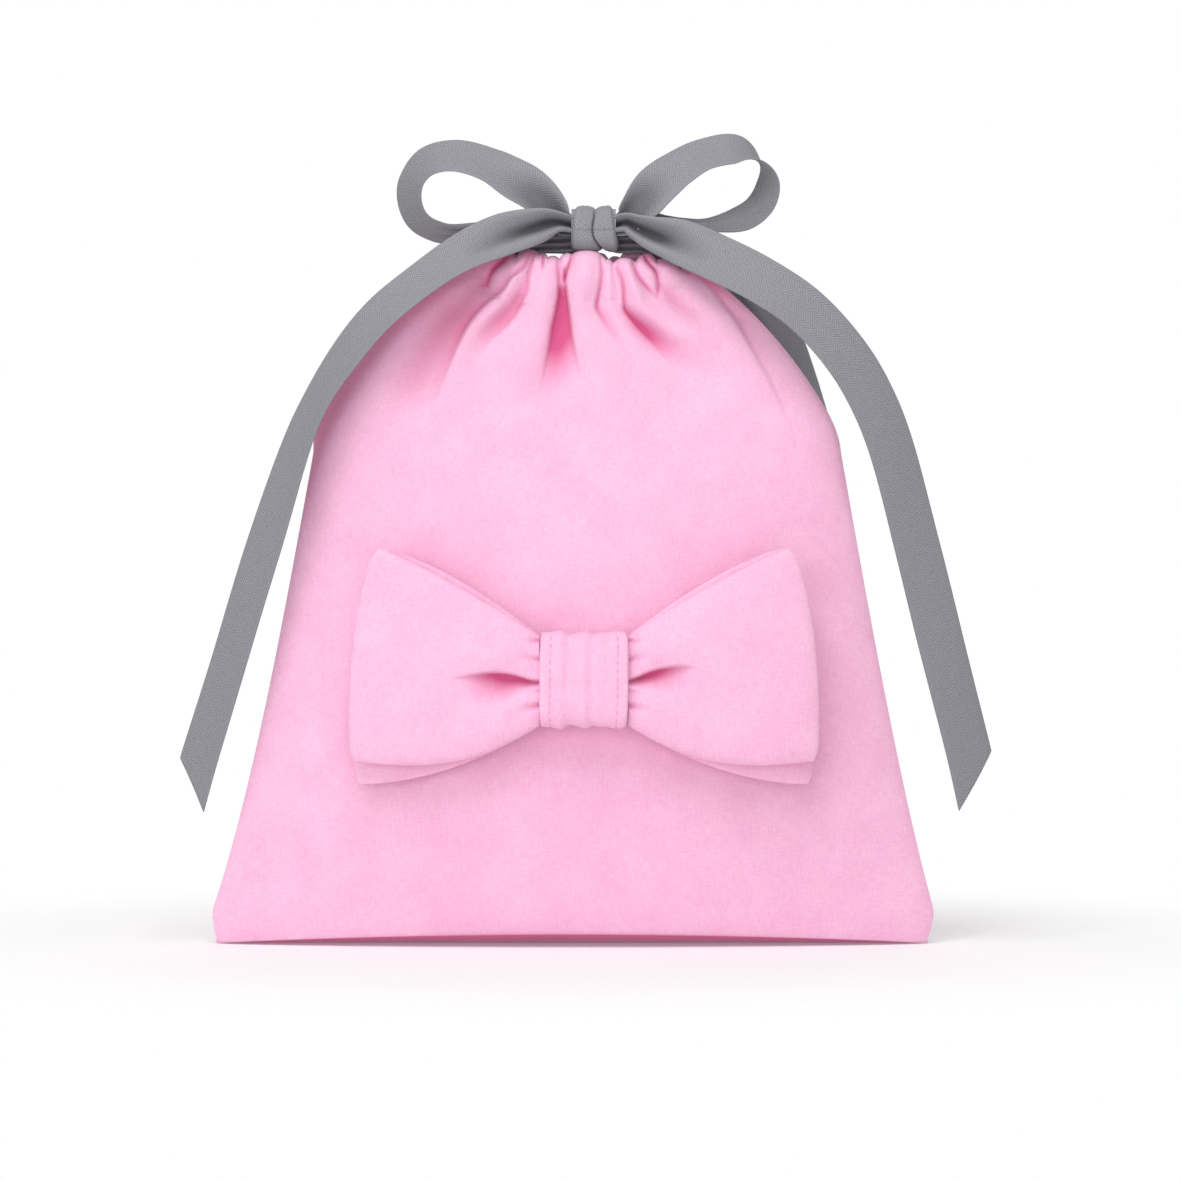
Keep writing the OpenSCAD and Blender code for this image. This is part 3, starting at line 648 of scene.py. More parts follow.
# %%
def knot_surface():
    """The wrap: an oval in side view, its radius shaped across the tape, with its painted shade."""
    turn = np.linspace(0, 2 * PI, 121)[:-1]
    a, q = np.meshgrid(turn, np.linspace(-1, 1, 73), indexing="ij")
    half = KNOT_SIZE / 2
    power = 2 / 2.6
    y, z = -signed_power(np.cos(a), power) * half[1], signed_power(np.sin(a), power) * half[2]
    up, down = np.maximum(np.sin(a), 0), np.maximum(-np.sin(a), 0)
    middle = -0.06 + 0.16 * up + 0.38 * down**2
    crease = 0.13 * np.exp(-np.abs(q - middle) / 0.07)
    lobes = 0.04 * np.cos(PI * (q - middle) / 0.55)
    tucks = 0.03 * (bell(q, 0.2 * np.sin(a) - 0.62, 0.06) + bell(q, 0.66 - 0.15 * np.sin(a + 1), 0.06))
    edge = 0.24 * np.clip((np.abs(q) - 0.78) / 0.22, 0, 1) ** 2
    r = 1.0 - crease - lobes - tucks - edge
    x = q * half[0] * (1.0 - 0.1 * np.sin(a)) + 0.6 * down
    points = np.stack([x, y * r, z * r - 0.6], -1) + KNOT
    flat = np.stack([(q - middle + 1) * TAPE_W / 2, a * half[2]], -1) * MM
    # Painted shade: darker along the middle crease, at the rolled edges and on the underside.
    knot_painted_shade = bell(q, middle, 0.05) + 0.7 * np.clip((np.abs(q) - 0.82) / 0.18, 0, 1) ** 2
    return points, flat, np.clip(0.85 * knot_painted_shade + 0.5 * down**3, 0, 1)


KNOT_T = 1.3
points, flat, knot_painted_shade = knot_surface()
knot = mesh_object("knot_turn", points, ring_faces(*points.shape[:2]), flat, TAPE, knot_painted_shade)
thicken(knot, KNOT_T)
dress(knot, ["knot_wrap"], "bag")
print("knot:", KNOT.round(1), KNOT_SIZE.round(1))

# %% [markdown]
# ## The cloth's outline
#
# `u` runs across the bag, from -1 at the left seam to 1 at the right.
# Up to the shoulders the sides are nearly straight.
# Above them the half width falls in a curve to the gathered neck, and the sides of each row
# curve up, so the shoulders stand beside the neck.

# %%
PANEL, PANEL_SIZE = box_mm("front_panel")
BAG_W = PANEL_SIZE[0]
WAIST_Z = PANEL[2] + PANEL_SIZE[2] / 2 + 2
SHOULDER_Z = 205.0
SHOULDER_W = 220.0
TOP_Z = 283.5
NECK_HALF = 46.0
NECK_D = 11.3
BELLY = 32.0
BELLY_Z = 90.0
BASE_HALF = 22.0
ARCH = 5.5  # how far the middle of the front and back edge stands off the floor
SEAM_HALF = 0.9


def half_width(z, u):
    """Half the bag's width at a height, with a slight flare and a rounded corner at the floor.
    The left shoulder stands fuller than the right one."""
    low = mix(BAG_W / 2, SHOULDER_W / 2, z / SHOULDER_Z) - 1.2 * np.sin(PI * np.clip(z / SHOULDER_Z, 0, 1))
    low += 5.2 * np.exp(-z / 38) * ease(z / 16) - 2.2 * np.clip(1 - z / 6, 0, 1) ** 2
    t = np.clip((z - SHOULDER_Z) / (TOP_Z - SHOULDER_Z), 0, 1)
    shoulder = mix((1 - t**2.2) ** 0.7, 1 - t**1.65, (1 + u) / 2)
    high = NECK_HALF + (SHOULDER_W / 2 - NECK_HALF) * shoulder
    return np.where(z < SHOULDER_Z, low, high)


def half_depth(z):
    """Half the bag's depth on its middle line: from the base out to the belly, then in to the neck."""
    low = mix(BASE_HALF, BELLY, np.sin(PI / 2 * np.clip(z / BELLY_Z, 0, 1)) ** 0.6)
    return np.where(z < BELLY_Z, low, mix(BELLY, NECK_D, ease((z - BELLY_Z) / (WAIST_Z - BELLY_Z))))


def crown(u, z):
    """How full the cloth stands across the bag: a lens low down, squarer at the shoulders."""
    t = ease((z - 150) / 90)
    return np.clip(1 - np.abs(u) ** mix(2, 3.2, t), 0, 1) ** mix(0.8, 0.5, t)


def middle_x(z):
    """The body and the neck lean a little to the right."""
    return NECK_X * ease((z - 225) / 50) + 2.2 * (1 - np.exp(-z / 60)) * (1 - ease((z - 205) / 60))


# %% [markdown]
# ## Folds
#
# A fold is a line of rows `[x, z, height, width]`.
# A soft fold adds height * exp(-(distance / width) squared) to the cloth, and a valley takes it away.
# An edge is where one fold lies over the next. The cloth beside it drops by height and climbs back
# as exp(-distance / width); on the fold's own side it turns over within a millimetre.
# A slit is an edge of both sides, where two folds press together.
# The folds are those of the front, seen from the front.

# %%
SOFT_FOLDS = [
    [[-19, 291, 2.5, 3.5], [-24, 281, 3, 3.5], [-26, 274, 3.4, 3.5], [-32, 266, 3.4, 4.5],
     [-39, 258, 3.2, 6], [-45, 249, 2.9, 7], [-50, 238, 2.4, 9], [-57, 223, 1.7, 11], [-62, 208, 0.8, 13],
     [-66, 192, 0, 14]],
    [[-12, 291, 2, 3], [-11, 282, 2.5, 4], [-12, 273, 3.4, 5.5], [-14, 265, 3.6, 6.5],
     [-16, 255, 3, 8], [-20, 240, 2.2, 10], [-25, 222, 1.2, 12], [-29, 204, 0.5, 14], [-32, 186, 0, 15]],
    [[6, 292, 4, 6], [5, 280, 4.5, 7], [3.5, 272, 4.8, 7], [3.5, 266, 4.8, 6.5], [6, 256, 4.4, 8],
     [10, 247, 3.4, 10], [15, 236, 2.4, 12], [20, 220, 1.3, 14], [23, 204, 0.5, 15], [25, 188, 0, 16]],
    [[15, 289, 1.5, 2], [15.3, 280, 2, 2.2], [15.5, 272, 2, 2.5], [16, 266, 2.2, 3],
     [21, 257, 2.2, 4.5], [28, 248, 1.7, 6.5], [37, 236, 0.9, 9], [43, 226, 0, 10]],
    [[21.5, 290, 2.5, 3], [24, 281, 2.8, 3], [26.5, 273, 3.2, 3.4], [29, 266, 3.4, 4.2],
     [36, 260, 3, 5], [46, 255, 2.2, 7], [58, 249, 1, 9], [70, 243, 0, 11]],
    [[32, 292, 2.5, 4], [38, 284, 2.8, 4], [43, 279, 3, 4.5], [50, 274, 3.2, 5.5], [57, 267, 3, 6.5],
     [64, 257, 2.7, 8], [72, 244, 2.2, 9], [80, 230, 1.4, 10], [87, 217, 0.7, 11], [93, 203, 0, 12]],
    [[-52, 275, 1.5, 5], [-66, 265.5, 2.4, 6], [-77.5, 249.5, 2.4, 7.5], [-86, 231, 1.8, 9],
     [-96, 215, 0.9, 10], [-102, 200, 0.3, 11], [-106, 188, 0, 12]],
]
SOFT_VALLEYS = [
    [[-38, 276, 1.6, 3], [-44, 269, 2.2, 4.5], [-53, 260, 2.6, 7], [-61, 247, 2.4, 9],
     [-67, 234, 2, 11], [-74, 221, 1, 13], [-80, 208, 0.3, 14], [-84, 194, 0, 15]],
    [[-20, 275, 0.6, 1.5], [-23.5, 268, 2, 2.5], [-29, 261.5, 2.8, 3.6], [-36, 255, 2.2, 5],
     [-42, 247, 1.4, 7], [-48, 235, 0.6, 9], [-52, 222, 0, 10]],
    [[-4.2, 272, 2, 2.4], [-4, 265, 3, 3], [-4.6, 256.5, 4, 4.2], [-6, 247, 3.4, 6],
     [-8, 236, 2, 8], [-13, 220, 0.7, 10], [-17, 206, 0, 12]],
    [[23, 263, 1.6, 2.5], [29, 257, 3.4, 4], [38, 250.5, 3, 5.5],
     [47, 245.5, 1.9, 7.5], [57, 241, 0.9, 10], [68, 235, 0, 12]],
    [[37.5, 274, 1.4, 2], [41, 270, 2.4, 3], [47, 264.5, 2, 4], [56, 257, 1.2, 6], [64, 248, 0.5, 8],
     [72, 238, 0, 9]],
]
SLITS = [
    [[-23, 293, 2.2, 1], [-28, 286, 2.6, 1.1], [-33, 281, 2.8, 1.2], [-35.5, 275, 2.4, 1.4],
     [-37, 270, 0, 2]],
    [[-11.5, 292, 2.4, 0.8], [-12, 284, 2, 0.8], [-12.1, 280, 0.4, 0.8], [-12.1, 277, 0, 0.8]],
    [[0.5, 292, 2.2, 0.8], [0, 287, 2.4, 0.8], [-2.5, 279, 2, 1], [-3.5, 275, 0, 1]],
    [[25, 291, 2, 0.9], [25.5, 284, 2.2, 0.9], [27.7, 278, 2.4, 1.1], [31.3, 273.6, 2.2, 1.2],
     [34.9, 270.5, 1, 1.2], [36, 269, 0, 1.2]],
    [[29, 290, 1.5, 0.8], [31.5, 284.5, 2.2, 0.8], [35, 280, 2.5, 0.9], [36, 273, 2, 1], [35.6, 269, 0, 1.2]],
]
# Edges with the low side to the left (-1) or to the right (1) of the line.
EDGES = [
    (-1, [[-17, 292, 1.2, 1.2], [-19.5, 283, 2, 1.6], [-25.9, 278, 3, 2.2], [-29.5, 272.7, 3.6, 3],
          [-37.7, 266, 4, 4], [-44, 258, 3.8, 5.5], [-48.5, 249, 2.8, 7], [-54, 235.6, 1.4, 9],
          [-60, 220, 0, 11]]),
    (-1, [[-15, 292, 1.8, 0.9], [-17, 284, 2.2, 1], [-18.1, 280, 2.6, 1.2], [-19, 272.7, 3, 1.8],
          [-22.2, 265.5, 3, 3], [-25.9, 260, 2.2, 4], [-34, 252, 1, 6], [-40, 244, 0, 8]]),
    (1, [[-6.5, 292, 1.5, 0.8], [-5.6, 283, 2.4, 1], [-5.2, 272, 3.4, 1.4], [-5.9, 266.3, 3.8, 2],
         [-7.7, 258, 3.8, 2.8], [-8.8, 250.9, 2.8, 4], [-10.5, 242, 1.3, 5.5], [-12.5, 231, 0, 7]]),
    (-1, [[-3, 281, 2, 0.9], [-2.9, 275, 3, 1.2], [-2.5, 270, 3.6, 1.6], [-1.3, 260, 3.8, 2.6],
          [0, 250.9, 2.8, 4], [1.6, 242.8, 1.4, 5.5], [4.1, 232, 0, 7]]),
    (1, [[11.8, 292, 1.8, 0.9], [12.3, 286, 2.2, 1], [12.3, 278, 2.6, 1.1], [10.9, 270, 3, 1.4],
         [10.3, 265.5, 3.4, 1.8], [13.2, 260, 2.9, 2.8], [18.6, 252.5, 1.8, 4.5], [24, 245.5, 0.8, 6.5],
         [30, 236, 0, 8]]),
    (1, [[18, 292, 1.8, 0.9], [19.2, 282, 2.3, 1], [21.3, 275.4, 3, 1.2], [21.8, 267.3, 3.5, 1.6],
         [22.4, 264, 3.8, 2], [26.8, 258.6, 3.2, 3.4], [31.3, 253.7, 2, 5], [38, 246.5, 0.8, 7],
         [45, 240, 0, 9]]),
    (1, [[38, 289, 0.8, 2], [44.9, 282, 1.5, 2.5], [53.1, 278.2, 2, 3.2], [58.5, 273.6, 2.5, 4],
         [63.1, 267.3, 2.7, 5], [67.6, 261.9, 2.7, 6], [74, 251, 2.3, 7], [82.5, 236, 1.4, 9],
         [89, 222, 0.6, 10], [95, 206, 0, 11]]),
]
# The top of each finger of the gathers: place, height, half width.
FINGERS = [
    [-42, 287.5, 7], [-34, 288, 4.5], [-27, 289, 4], [-18, 290, 4.5], [-12.5, 288.7, 2.4], [-8, 287.3, 3],
    [-1.8, 288.6, 3], [6, 290, 6], [14.8, 286, 2.4], [22, 286.6, 4.6], [31, 288.4, 3.5], [38, 286, 5],
    [45, 282, 5],
]
SLIT_DEPTH = 1.7


def line_field(x, z, line, kind="soft", side=1):
    """Height of one fold at each place (x, z). An edge's low side is to the left of the run at side 1."""
    rows = curve_rows(line, 24)
    turn = np.gradient(rows[:, :2], axis=0)
    reach = 4 * rows[:, 3].max()
    near = ((x > rows[:, 0].min() - reach) & (x < rows[:, 0].max() + reach)
            & (z > rows[:, 1].min() - reach) & (z < rows[:, 1].max() + reach))
    total = np.zeros_like(x)
    dx, dz = x[near][:, None] - rows[:, 0], z[near][:, None] - rows[:, 1]
    gap = dx**2 + dz**2
    k = gap.argmin(1)
    each = np.arange(len(k))
    share = np.sqrt(gap[each, k]) / rows[k, 3]
    if kind == "soft":
        shape = np.exp(-(share**2))
    elif kind == "slit":
        shape = np.exp(-share)
    else:
        low = (turn[k, 0] * dz[each, k] - turn[k, 1] * dx[each, k]) * side > 0
        shape = np.where(low, np.exp(-share), np.exp(-((np.sqrt(gap[each, k]) / 0.8) ** 2)))
    total[near] = rows[k, 2] * shape
    return total


def folds(x, z):
    """Ridges and hollows of a gathered face, both positive, in millimetres."""
    high, low = np.zeros_like(x), np.zeros_like(x)
    for line in SOFT_FOLDS:
        high += line_field(x, z, line)
    for line in SOFT_VALLEYS:
        low += line_field(x, z, line)
    for line in SLITS:
        low += SLIT_DEPTH * line_field(x, z, line, "slit")
    for side, line in EDGES:
        low += line_field(x, z, line, "edge", side)
    return high, low


def painted_tail_shadow(x, z):
    """Painted shadow of the hanging tails: deeper colour next to them in front view, where little light
    reaches the cloth.
    """
    near = np.full(x.shape, 99.0)
    for route in (LEFT_TAIL, RIGHT_TAIL):
        rows = curve_rows(route[2:], 10)
        gap = np.sqrt(((np.stack([x, z], -1)[:, None] - rows[:, [0, 2]]) ** 2).sum(-1)).min(1)
        near = np.minimum(near, gap)
    return 3.2 * bell(np.maximum(near, 8), 8, 5)


def casing_top(x):
    """The upper edge of the gathers: the highest of the fingers at each place."""
    return np.max([z - 1.8 * (np.abs(x - place) / half) ** 2.5 for place, z, half in FINGERS], axis=0)


# %% [markdown]
# ## Front and back cloth
#
# Each is one sheet: under the base, up the face, over the top of the casing and down inside it.
# The back's gathers are the front's turned over, with other small ripples.
# Where the tape runs in the casing, the hollows stop short of it.

# %%
COLUMNS = 280
DEEPEST = 5.2  # the most that a hollow goes in
TAPE_ROOM_Z = 262


def tape_room(plain, full):
    """How far out the cloth stays at least, to cover the tape in the casing."""
    return np.minimum(plain, 3.4 + 2.2 * full)


def cloth_rows(u, side, seed):
    """The rows of one cloth from its bottom seam to the inner edge of its casing, with painted shade."""

    def seen_x(x):
        return x if side < 0 else 2 * NECK_X - x

    def arch(z):
        return ARCH * (1 - u**2) * np.clip(1 - z / 30, 0, 1)

    def relief(x, z, full, folded=True):
        high, low = folds(seen_x(x), z) if folded else (0 * u, 0 * u)
        total = high - low
        bulge = np.where(total < 0, DEEPEST * np.tanh(total / DEEPEST), total) * full**0.35
        return bulge + ripples(x, z, seed, 0.45, 90) * ease(z / 30) * full**0.5, low

    # Painted shadow of the tails, on the front cloth only.
    def shade(x, z):
        return painted_tail_shadow(x, z) if side < 0 else 0

    rows, painted_shade_rows = [], []
    # Painted shade under the arched base, darkest at its front edge.
    for share in np.linspace(0, 1, 9)[:-1]:
        fold = BASE_HALF * crown(u, 0 * u)
        rows.append((half_width(0, u) * u, SEAM_HALF + fold * share, arch(0 * u) * share**1.5 + 0.2))
        painted_shade_rows.append(1.2 + 5 * share + 0 * u)
    steps = np.concatenate([np.linspace(0, 1, 26)[:-1] ** 1.4 * 0.22, np.linspace(0.22, 0.7, 50)[:-1],
                            np.linspace(0.7, 1, 90)])
    for s in steps:
        z_mid = s * WAIST_Z
        z_side = z_mid + (TOP_Z - WAIST_Z) * ease((z_mid - 200) / (WAIST_Z - 200))
        z = z_mid + (z_side - z_mid) * np.abs(u) ** 6
        x = middle_x(z) + half_width(z_side, u) * u
        full = crown(u, z)
        bulge, low = relief(x, z, full, folded=s > 0.6)
        plain = SEAM_HALF + (half_depth(z) - SEAM_HALF) * full
        hold = np.where(z > TAPE_ROOM_Z, tape_room(plain, full), 0)
        rows.append((x, np.maximum(plain + bulge, hold), z + arch(z)))
        # Painted shade: the depth of the hollows, and on the front the tails' painted shadow.
        painted_shade_rows.append(low + shade(x, z))
    waist = z
    top = np.maximum(casing_top(seen_x(x)), waist + 1.2)
    inner = 0.6 + 2.6 * full
    pinch = 0.1 + 0.4 * bell(seen_x(x), -27, 5) + 0.3 * bell(seen_x(x), 16, 4)
    for s in np.linspace(0, 1, 46)[1:]:
        z = mix(waist, top, s)
        bulge, low = relief(x, z, full)
        groove = -pinch * bell(z, waist + 1.5, 1.1)
        outer = np.maximum(plain + bulge + groove + 0.5 * math.sin(PI * s) ** 2, tape_room(plain, full))
        round_off = math.sqrt(max(0.0, 1 - (max(0.0, s - 0.74) / 0.26) ** 2))
        rows.append((x, inner + np.maximum(outer - inner, 1.2) * round_off, z))
        painted_shade_rows.append(low * round_off + shade(x, z))
    # Painted shade, even, inside the casing.
    for s in np.linspace(0, 1, 8)[1:]:
        rows.append((x, inner - 0.4 * math.sin(PI * s), mix(top, waist + 1, s)))
        painted_shade_rows.append(2.0 + 0 * u)
    points = np.stack([np.stack([x, side * y, z], -1) for x, y, z in rows])
    return points, np.clip((np.stack(painted_shade_rows) - 0.8) / 4.4, 0, 1) ** 1.25


def cloth_piece(name, node_names, side, seed):
    """A whole cloth: its grid, its flat places, and what it declares."""
    s = np.linspace(-1, 1, COLUMNS)
    u = s * (0.78 + 0.22 * s**2)
    points, crease = cloth_rows(u, side, seed)
    step = np.linalg.norm(np.diff(points, axis=0), axis=-1).mean(1)
    climb = np.concatenate([[0], np.cumsum(step)])
    across = np.broadcast_to(u * BAG_W / 2, points.shape[:2])
    flat = np.stack([across, np.broadcast_to(climb[:, None], points.shape[:2])], -1) * MM
    faces = grid_faces(*points.shape[:2])
    obj = mesh_object(name, points, faces if side < 0 else faces[:, ::-1], flat, PINK, crease)
    dress(obj, node_names, "bag")
    print(f"{name}: {len(faces)} faces, {climb[-1]:.0f} mm from the bottom seam to the end inside")


cloth_piece("front_cloth", ["front_panel", "front_casing"], -1, 11)
cloth_piece("back_cloth", ["back_panel", "back_casing"], 1, 23)

# %% [markdown]
# ## Seam allowances
#
# The edges of the two cloths are sewn together and turned in, as a narrow strip of double cloth.


# %%
ALLOWANCE = 9.0
SEAM_T = 1.6


def side_strip(side):
    """The allowance along one side, from the bottom seam to the neck."""
    z = np.linspace(10, TOP_Z - 6, 90)
    x = middle_x(z) + side * half_width(z, side)
    outer = np.stack([x + side * 0.25, 0 * z, z], -1)
    inner = np.stack([x - side * ALLOWANCE, 0 * z, z - 2 * ease((z - 200) / 60)], -1)
    return np.stack([mix(inner, outer, t) for t in (0, 0.5, 1)], 1)


def bottom_strip():
    """The allowance along the bottom, on the floor."""
    x = np.linspace(-BAG_W / 2 + 1.2, BAG_W / 2 - 1.2, 90)
    return np.stack([np.stack([x, 0 * x, 0 * x + ALLOWANCE * t], -1) for t in (0, 0.5, 1)], 1)


for word, points, length in (("left", side_strip(-1), 0.29), ("right", side_strip(1), 0.29),
                             ("bottom", bottom_strip(), 0.298)):
    flat = points[..., [1, 2]] * MM
    strip = mesh_object(f"{word}_seam_cloth", points, grid_faces(*points.shape[:2]), flat, SEAM_PINK)
    thicken(strip, SEAM_T, 0.0)
    dress(strip, [f"{word}_seam"], "bag")
    print(f"{word} seam: {length * 1000:.0f} mm")

# %% [markdown]
# ## The padded bow
#
# A wing is a closed pad between two outlines.
# Its half thickness is full in the middle and falls to nothing as a square root at each edge,
# which gives a round edge.
# Creases run out from the band.

# %%
BAND, BAND_SIZE = box_mm("bow_band")
PAD, PAD_SIZE = box_mm("front_left_wing")
BOW_X, BOW_Z = BAND[0], BAND[2]
BAND_EDGE = BAND_SIZE[0] / 2
WING_T = 9.0
REAR_T = 6.3
ROOT_R = 5.0
ROOT_Y = PAD[1] - PAD_SIZE[1] / 2 + ROOT_R
REACH_HIGH = 69.0  # from the band to the wing's upper corner
REACH_LOW = 79.0
# The crease under the lip that runs out from the band, then the small tucks beside the band.
WING_FOLDS = {
    -1: {"lip": [[-1, -1.2, 3, 1.2], [4, -0.8, 5, 1.8], [9, 0.6, 7, 3], [14, 1.6, 7, 4.4], [20, 2, 4.6, 6],
                 [27, 1.4, 2, 8], [36, 0, 0, 10]],
         "valley": [[6, -1.5, 0.6, 3], [14, -2.5, 1.2, 6], [24, -2.5, 1, 8], [36, -2.5, 0, 11]]},
    1: {"lip": [[-1, -1, 3, 1.2], [4, 0.4, 5.6, 2], [9, 2.4, 6.8, 3], [14, 3.8, 4.6, 4.4], [20, 4.8, 2.2, 6],
                [28, 4.6, 0, 9]],
        "valley": [[6, -1, 0.6, 3], [13, 1, 1.2, 6], [21, 3.5, 0.9, 8], [32, 6, 0, 11]]},
}
TUCKS = [
    [[-1, 16, 2.4, 1.1], [3, 15.5, 1.2, 1.6], [8, 15.5, 0.3, 2.6], [13, 16, 0, 3.5]],
    [[-1, 8, 1.6, 1], [3, 8.4, 0.8, 1.6], [8, 9.4, 0.2, 2.4], [12, 10, 0, 3]],
    [[-1, -10.5, 2.2, 1.1], [3, -11.5, 1.2, 1.7], [9, -14, 0.4, 3], [14, -16, 0, 4]],
    [[-1, -5, 1.2, 1], [3, -5.4, 0.6, 1.5], [8, -6.4, 0, 2.4]],
]


def wing_outline(s, rear):
    """Upper and lower edge of a wing, from the bow's middle, at a share s of its length."""
    root = BAND_SIZE[2] / 2
    upper = mix(root - 2, 54, 1 - (1 - s) ** 1.25)
    lower = -mix(root - 1, 34, 1 - (1 - s) ** 3) - 2.5 * np.sin(PI * s)
    if rear:
        upper = upper + 1.8 * np.sin(PI * s)
        lower = -mix(root - 1, 44, 1 - (1 - s) ** 2)
    return upper, lower


def wing_grid(side, rear, rows=140, cols=150):
    """Front and back skins of a wing as one ring of columns, with painted shade in its creases.
    s runs out from the band and v runs up, both closer spaced towards the edges."""
    s, v = (0.5 - 0.5 * np.cos(PI * np.linspace(0, 1, count)) for count in (rows, cols))
    s, v = np.meshgrid(s, mix(np.linspace(0, 1, cols), v, 0.6), indexing="ij")
    upper, lower = wing_outline(s, rear)
    reach = mix(REACH_LOW, REACH_HIGH, v**2.8) - (2 if rear else 0)
    corner = 2.5 * (np.abs(2 * v - 1) ** 10) * s**8
    out = reach * s - corner
    z = mix(lower, upper, v)
    thick = REAR_T if rear else WING_T
    edge = np.clip(1 - np.abs(2 * v - 1) ** 5, 0.0004, 1) ** 0.5
    tip = np.clip(1 - s**10, 0.0004, 1) ** 0.5
    half = thick / 2 * edge * tip * (1 + 0.12 * np.sin(PI * s) * (1 - np.abs(2 * v - 1)))
    lay = 7 * s**2 + (ROOT_R + PLAY + REAR_T / 2 if rear else 0)
    dent = line_field(out, z, WING_FOLDS[side]["lip"], "edge", -1)
    dent += line_field(out, z, WING_FOLDS[side]["valley"])
    for line in TUCKS:
        dent += line_field(out, z, line)
    # Painted shade: the colour deepens with the depth of the creases, on the front skin only.
    crease = np.clip((dent - 0.8) / 4.5, 0, 1)
    puff = 0.8 * bell(out, 16, 12) * (bell(z, 11, 6) + bell(z, -12, 6))
    dent = 1.35 * half * np.tanh(dent / 4) - puff * edge
    dent = dent + ripples(out, z, 31 + side + 5 * rear, 0.22, 40) * edge * tip
    x = BOW_X + side * (BAND_EDGE + PLAY + out)
    skins = []
    for face, cut in ((-1, 1.0), (1, 0.0)):
        y = ROOT_Y + lay + face * (half - cut * dent)
        skins.append(np.stack([x, y, z + BOW_Z], -1))
    ring = np.concatenate([skins[0], skins[1][:, -2:0:-1]], axis=1)
    flat = np.stack([out, z], -1) * MM
    flat = np.concatenate([flat, flat[:, -2:0:-1]], axis=1)
    crease = np.concatenate([crease, 0 * crease[:, -2:0:-1]], axis=1)
    return ring, flat, crease


def wing_piece(side, word, layer):
    """A wing as one pad, closed at its tip."""
    rear = layer == "rear"
    ring, flat, crease = wing_grid(side, rear)
    rows, cols = ring.shape[:2]
    faces = grid_faces(rows, cols, close=True)
    half = cols // 2
    j = np.arange(half)
    last = (rows - 1) * cols
    tip = np.stack([last + j, last + j + 1, last + (cols - j - 1) % cols, last + (cols - j) % cols], -1)
    faces = np.vstack([faces, tip[1:-1]])
    obj = mesh_object(f"{layer}_{word}_pad", ring, faces if side > 0 else faces[:, ::-1], flat, PINK, crease)
    dress(obj, [f"{layer}_{word}_wing"])
    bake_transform(obj)
    print(f"{layer} {word} pad: {len(faces)} faces")


for side, word in ((-1, "left"), (1, "right")):
    for layer in ("front", "rear"):
        wing_piece(side, word, layer)

# %% [markdown]
# ## The band
#
# A strip of cloth goes round the middle of the bow.
# It is pulled into soft upright ridges and stitched 4 mm inside each edge.

# %%
BAND_T = 1.8
STITCH_Q = 0.76


def band_radius(q, a):
    """How far the band stands off its rounded box, in millimetres, across (q) and round (a) it."""
    inside = np.clip((0.78 - np.abs(q)) / 0.15, 0, 1)
    ridges = 0.34 * np.cos(2 * PI * (2.1 * q + 0.06 * np.sin(2 * a) + 0.12)) * inside
    minor = 0.16 * np.sin(2 * PI * (3.4 * q + 0.12 * np.cos(a))) * inside
    hem = -0.35 * bell(np.abs(q), STITCH_Q, 0.035)
    roll = -0.9 * np.clip((np.abs(q) - 0.94) / 0.06, 0, 1) ** 2
    return ridges + minor + hem + roll


def band_point(q, a):
    """A place on the band: a rounded box in side view, its ends 36 mm apart."""
    half = BAND_SIZE / 2
    power = 2 / 4.5
    y, z = -signed_power(np.cos(a), power), signed_power(np.sin(a), power)
    r = band_radius(q, a)
    waist = 1 - 0.03 * np.cos(PI * q / 2)
    wobble = 0.5 * np.sin(3 * PI * q + 1)
    return np.stack([BAND[0] + q * half[0] + 0.4 * np.sin(a * 2 + q), BAND[1] + y * (half[1] + r),
                     BAND[2] + z * ((half[2] + r) * waist + wobble * np.abs(z))], -1)


turn = np.linspace(0, 2 * PI, 161)[:-1]
turn = turn - 0.22 * np.sin(4 * turn)
a, q = np.meshgrid(turn, np.linspace(-1, 1, 91), indexing="ij")
flat = np.stack([q * BAND_EDGE, a * 18], -1) * MM
band = mesh_object("band_cloth", band_point(q, a), ring_faces(*q.shape), flat, PINK)
thicken(band, BAND_T)
dress(band, ["bow_band"], "bag")
print("band:", BAND.round(1), BAND_SIZE.round(1))

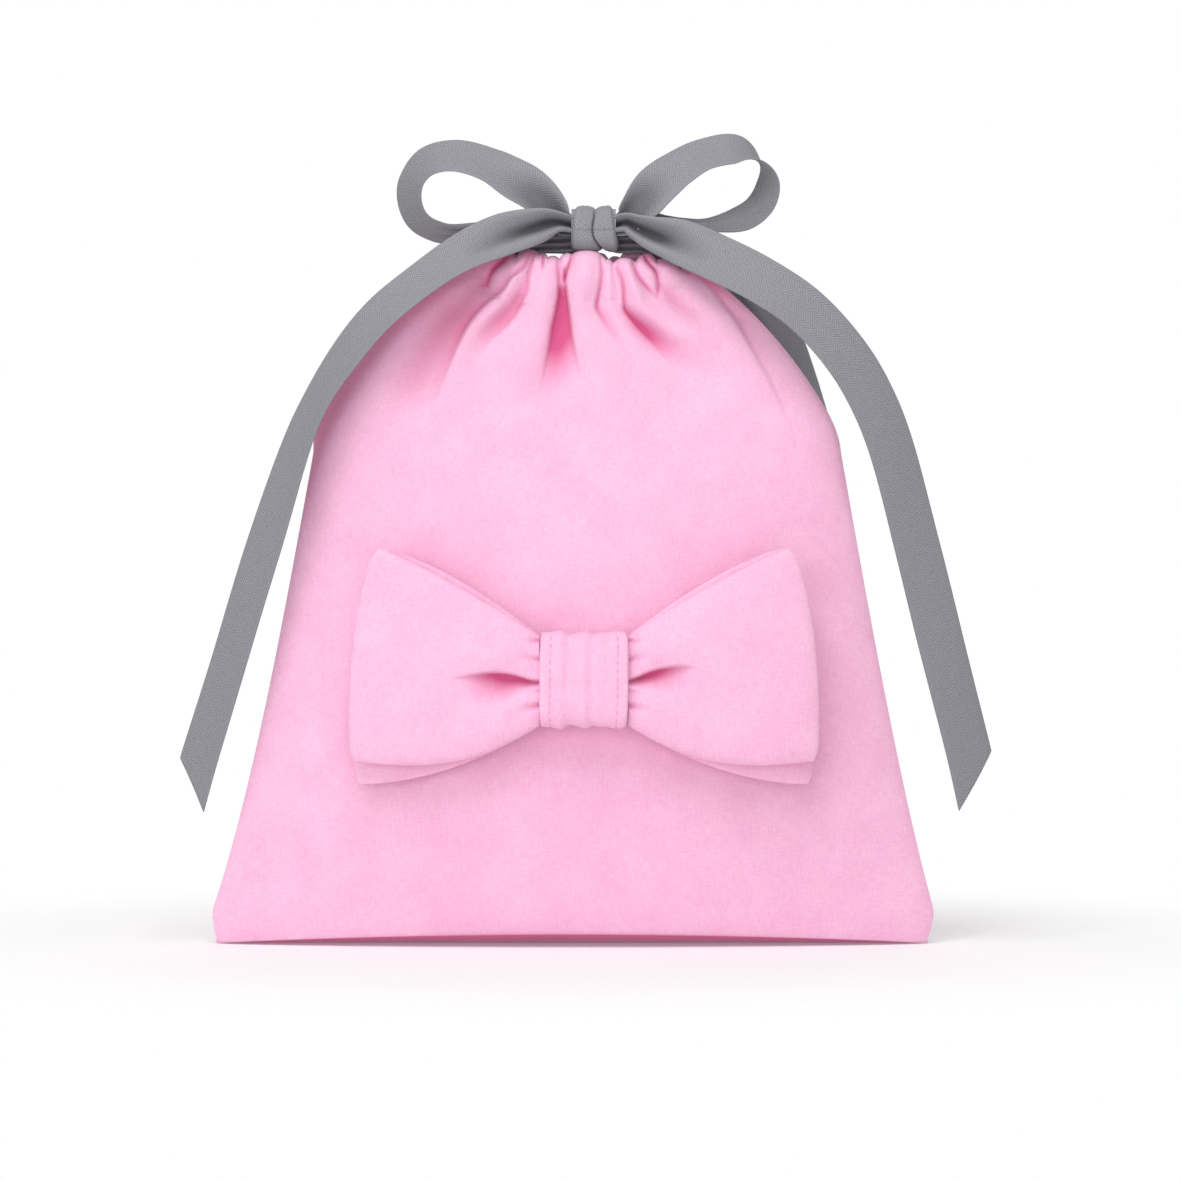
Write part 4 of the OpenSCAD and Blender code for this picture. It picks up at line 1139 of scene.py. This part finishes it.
# %% [markdown]
# ## Stitches
#
# A stitch is a short thread that dips into the cloth at both ends.


# %%
def stitch_row(line, normal, length=2.4, gap=1.0, radius=0.28, lift=0.12):
    """Stitches along a line of places, each a small rod of six sides: their points and flat places."""
    steps = np.linalg.norm(np.diff(line, axis=0), axis=1)
    run = np.concatenate([[0], np.cumsum(steps)])
    rods, flats = [], []
    for start in np.arange(0, run[-1] - length, length + gap):
        t = np.linspace(0, 1, 7)
        s = start + t * length
        middle = np.stack([np.interp(s, run, line[:, k]) for k in range(3)], -1)
        up = unit(np.stack([np.interp(s, run, normal[:, k]) for k in range(3)], -1))
        middle = middle + up * (lift - 0.35 * (2 * t - 1) ** 4)[:, None]
        along = unit(np.gradient(middle, axis=0))
        across = np.cross(along, up)
        turn = np.arange(6) * PI / 3
        r = radius * np.sqrt(1 - 0.9 * (2 * t - 1) ** 6)
        spoke = np.cos(turn)[:, None] * across[:, None] + np.sin(turn)[:, None] * up[:, None]
        rods.append(middle[:, None] + r[:, None, None] * spoke)
        flats.append(np.stack(np.broadcast_arrays(turn * 0.3, s[:, None]), -1) * MM)
    return rods, flats


rods, flats = [], []
round_front = np.linspace(-0.42 * PI, 0.42 * PI, 90)
for q in (-STITCH_Q, STITCH_Q):
    line = band_point(np.full_like(round_front, q), round_front)
    ahead = band_point(np.full_like(round_front, q), round_front + 0.01) - line
    normal = unit(np.cross(ahead, np.array([[1.0, 0, 0]])))
    normal *= np.sign(-normal[len(normal) // 2, 1])
    row = stitch_row(line, normal)
    rods += row[0]
    flats += row[1]
rod_faces = grid_faces(7, 6, close=True)
faces = np.vstack([rod_faces + 7 * 6 * k for k in range(len(rods))])
dress(mesh_object("band_stitches", np.stack(rods), faces, np.stack(flats), THREAD), [], "bag")
print("stitches on the band:", len(rods))

# %% [markdown]
# ## Pieces kept from the solids
#
# The cores of the knot and the bow and the tack are hidden, and only take their colours.

# %%
for node, material in (("knot_core", TAPE), ("bow_core", SEAM_PINK), ("bow_tack", THREAD)):
    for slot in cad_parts[node].material_slots:
        slot.material = material
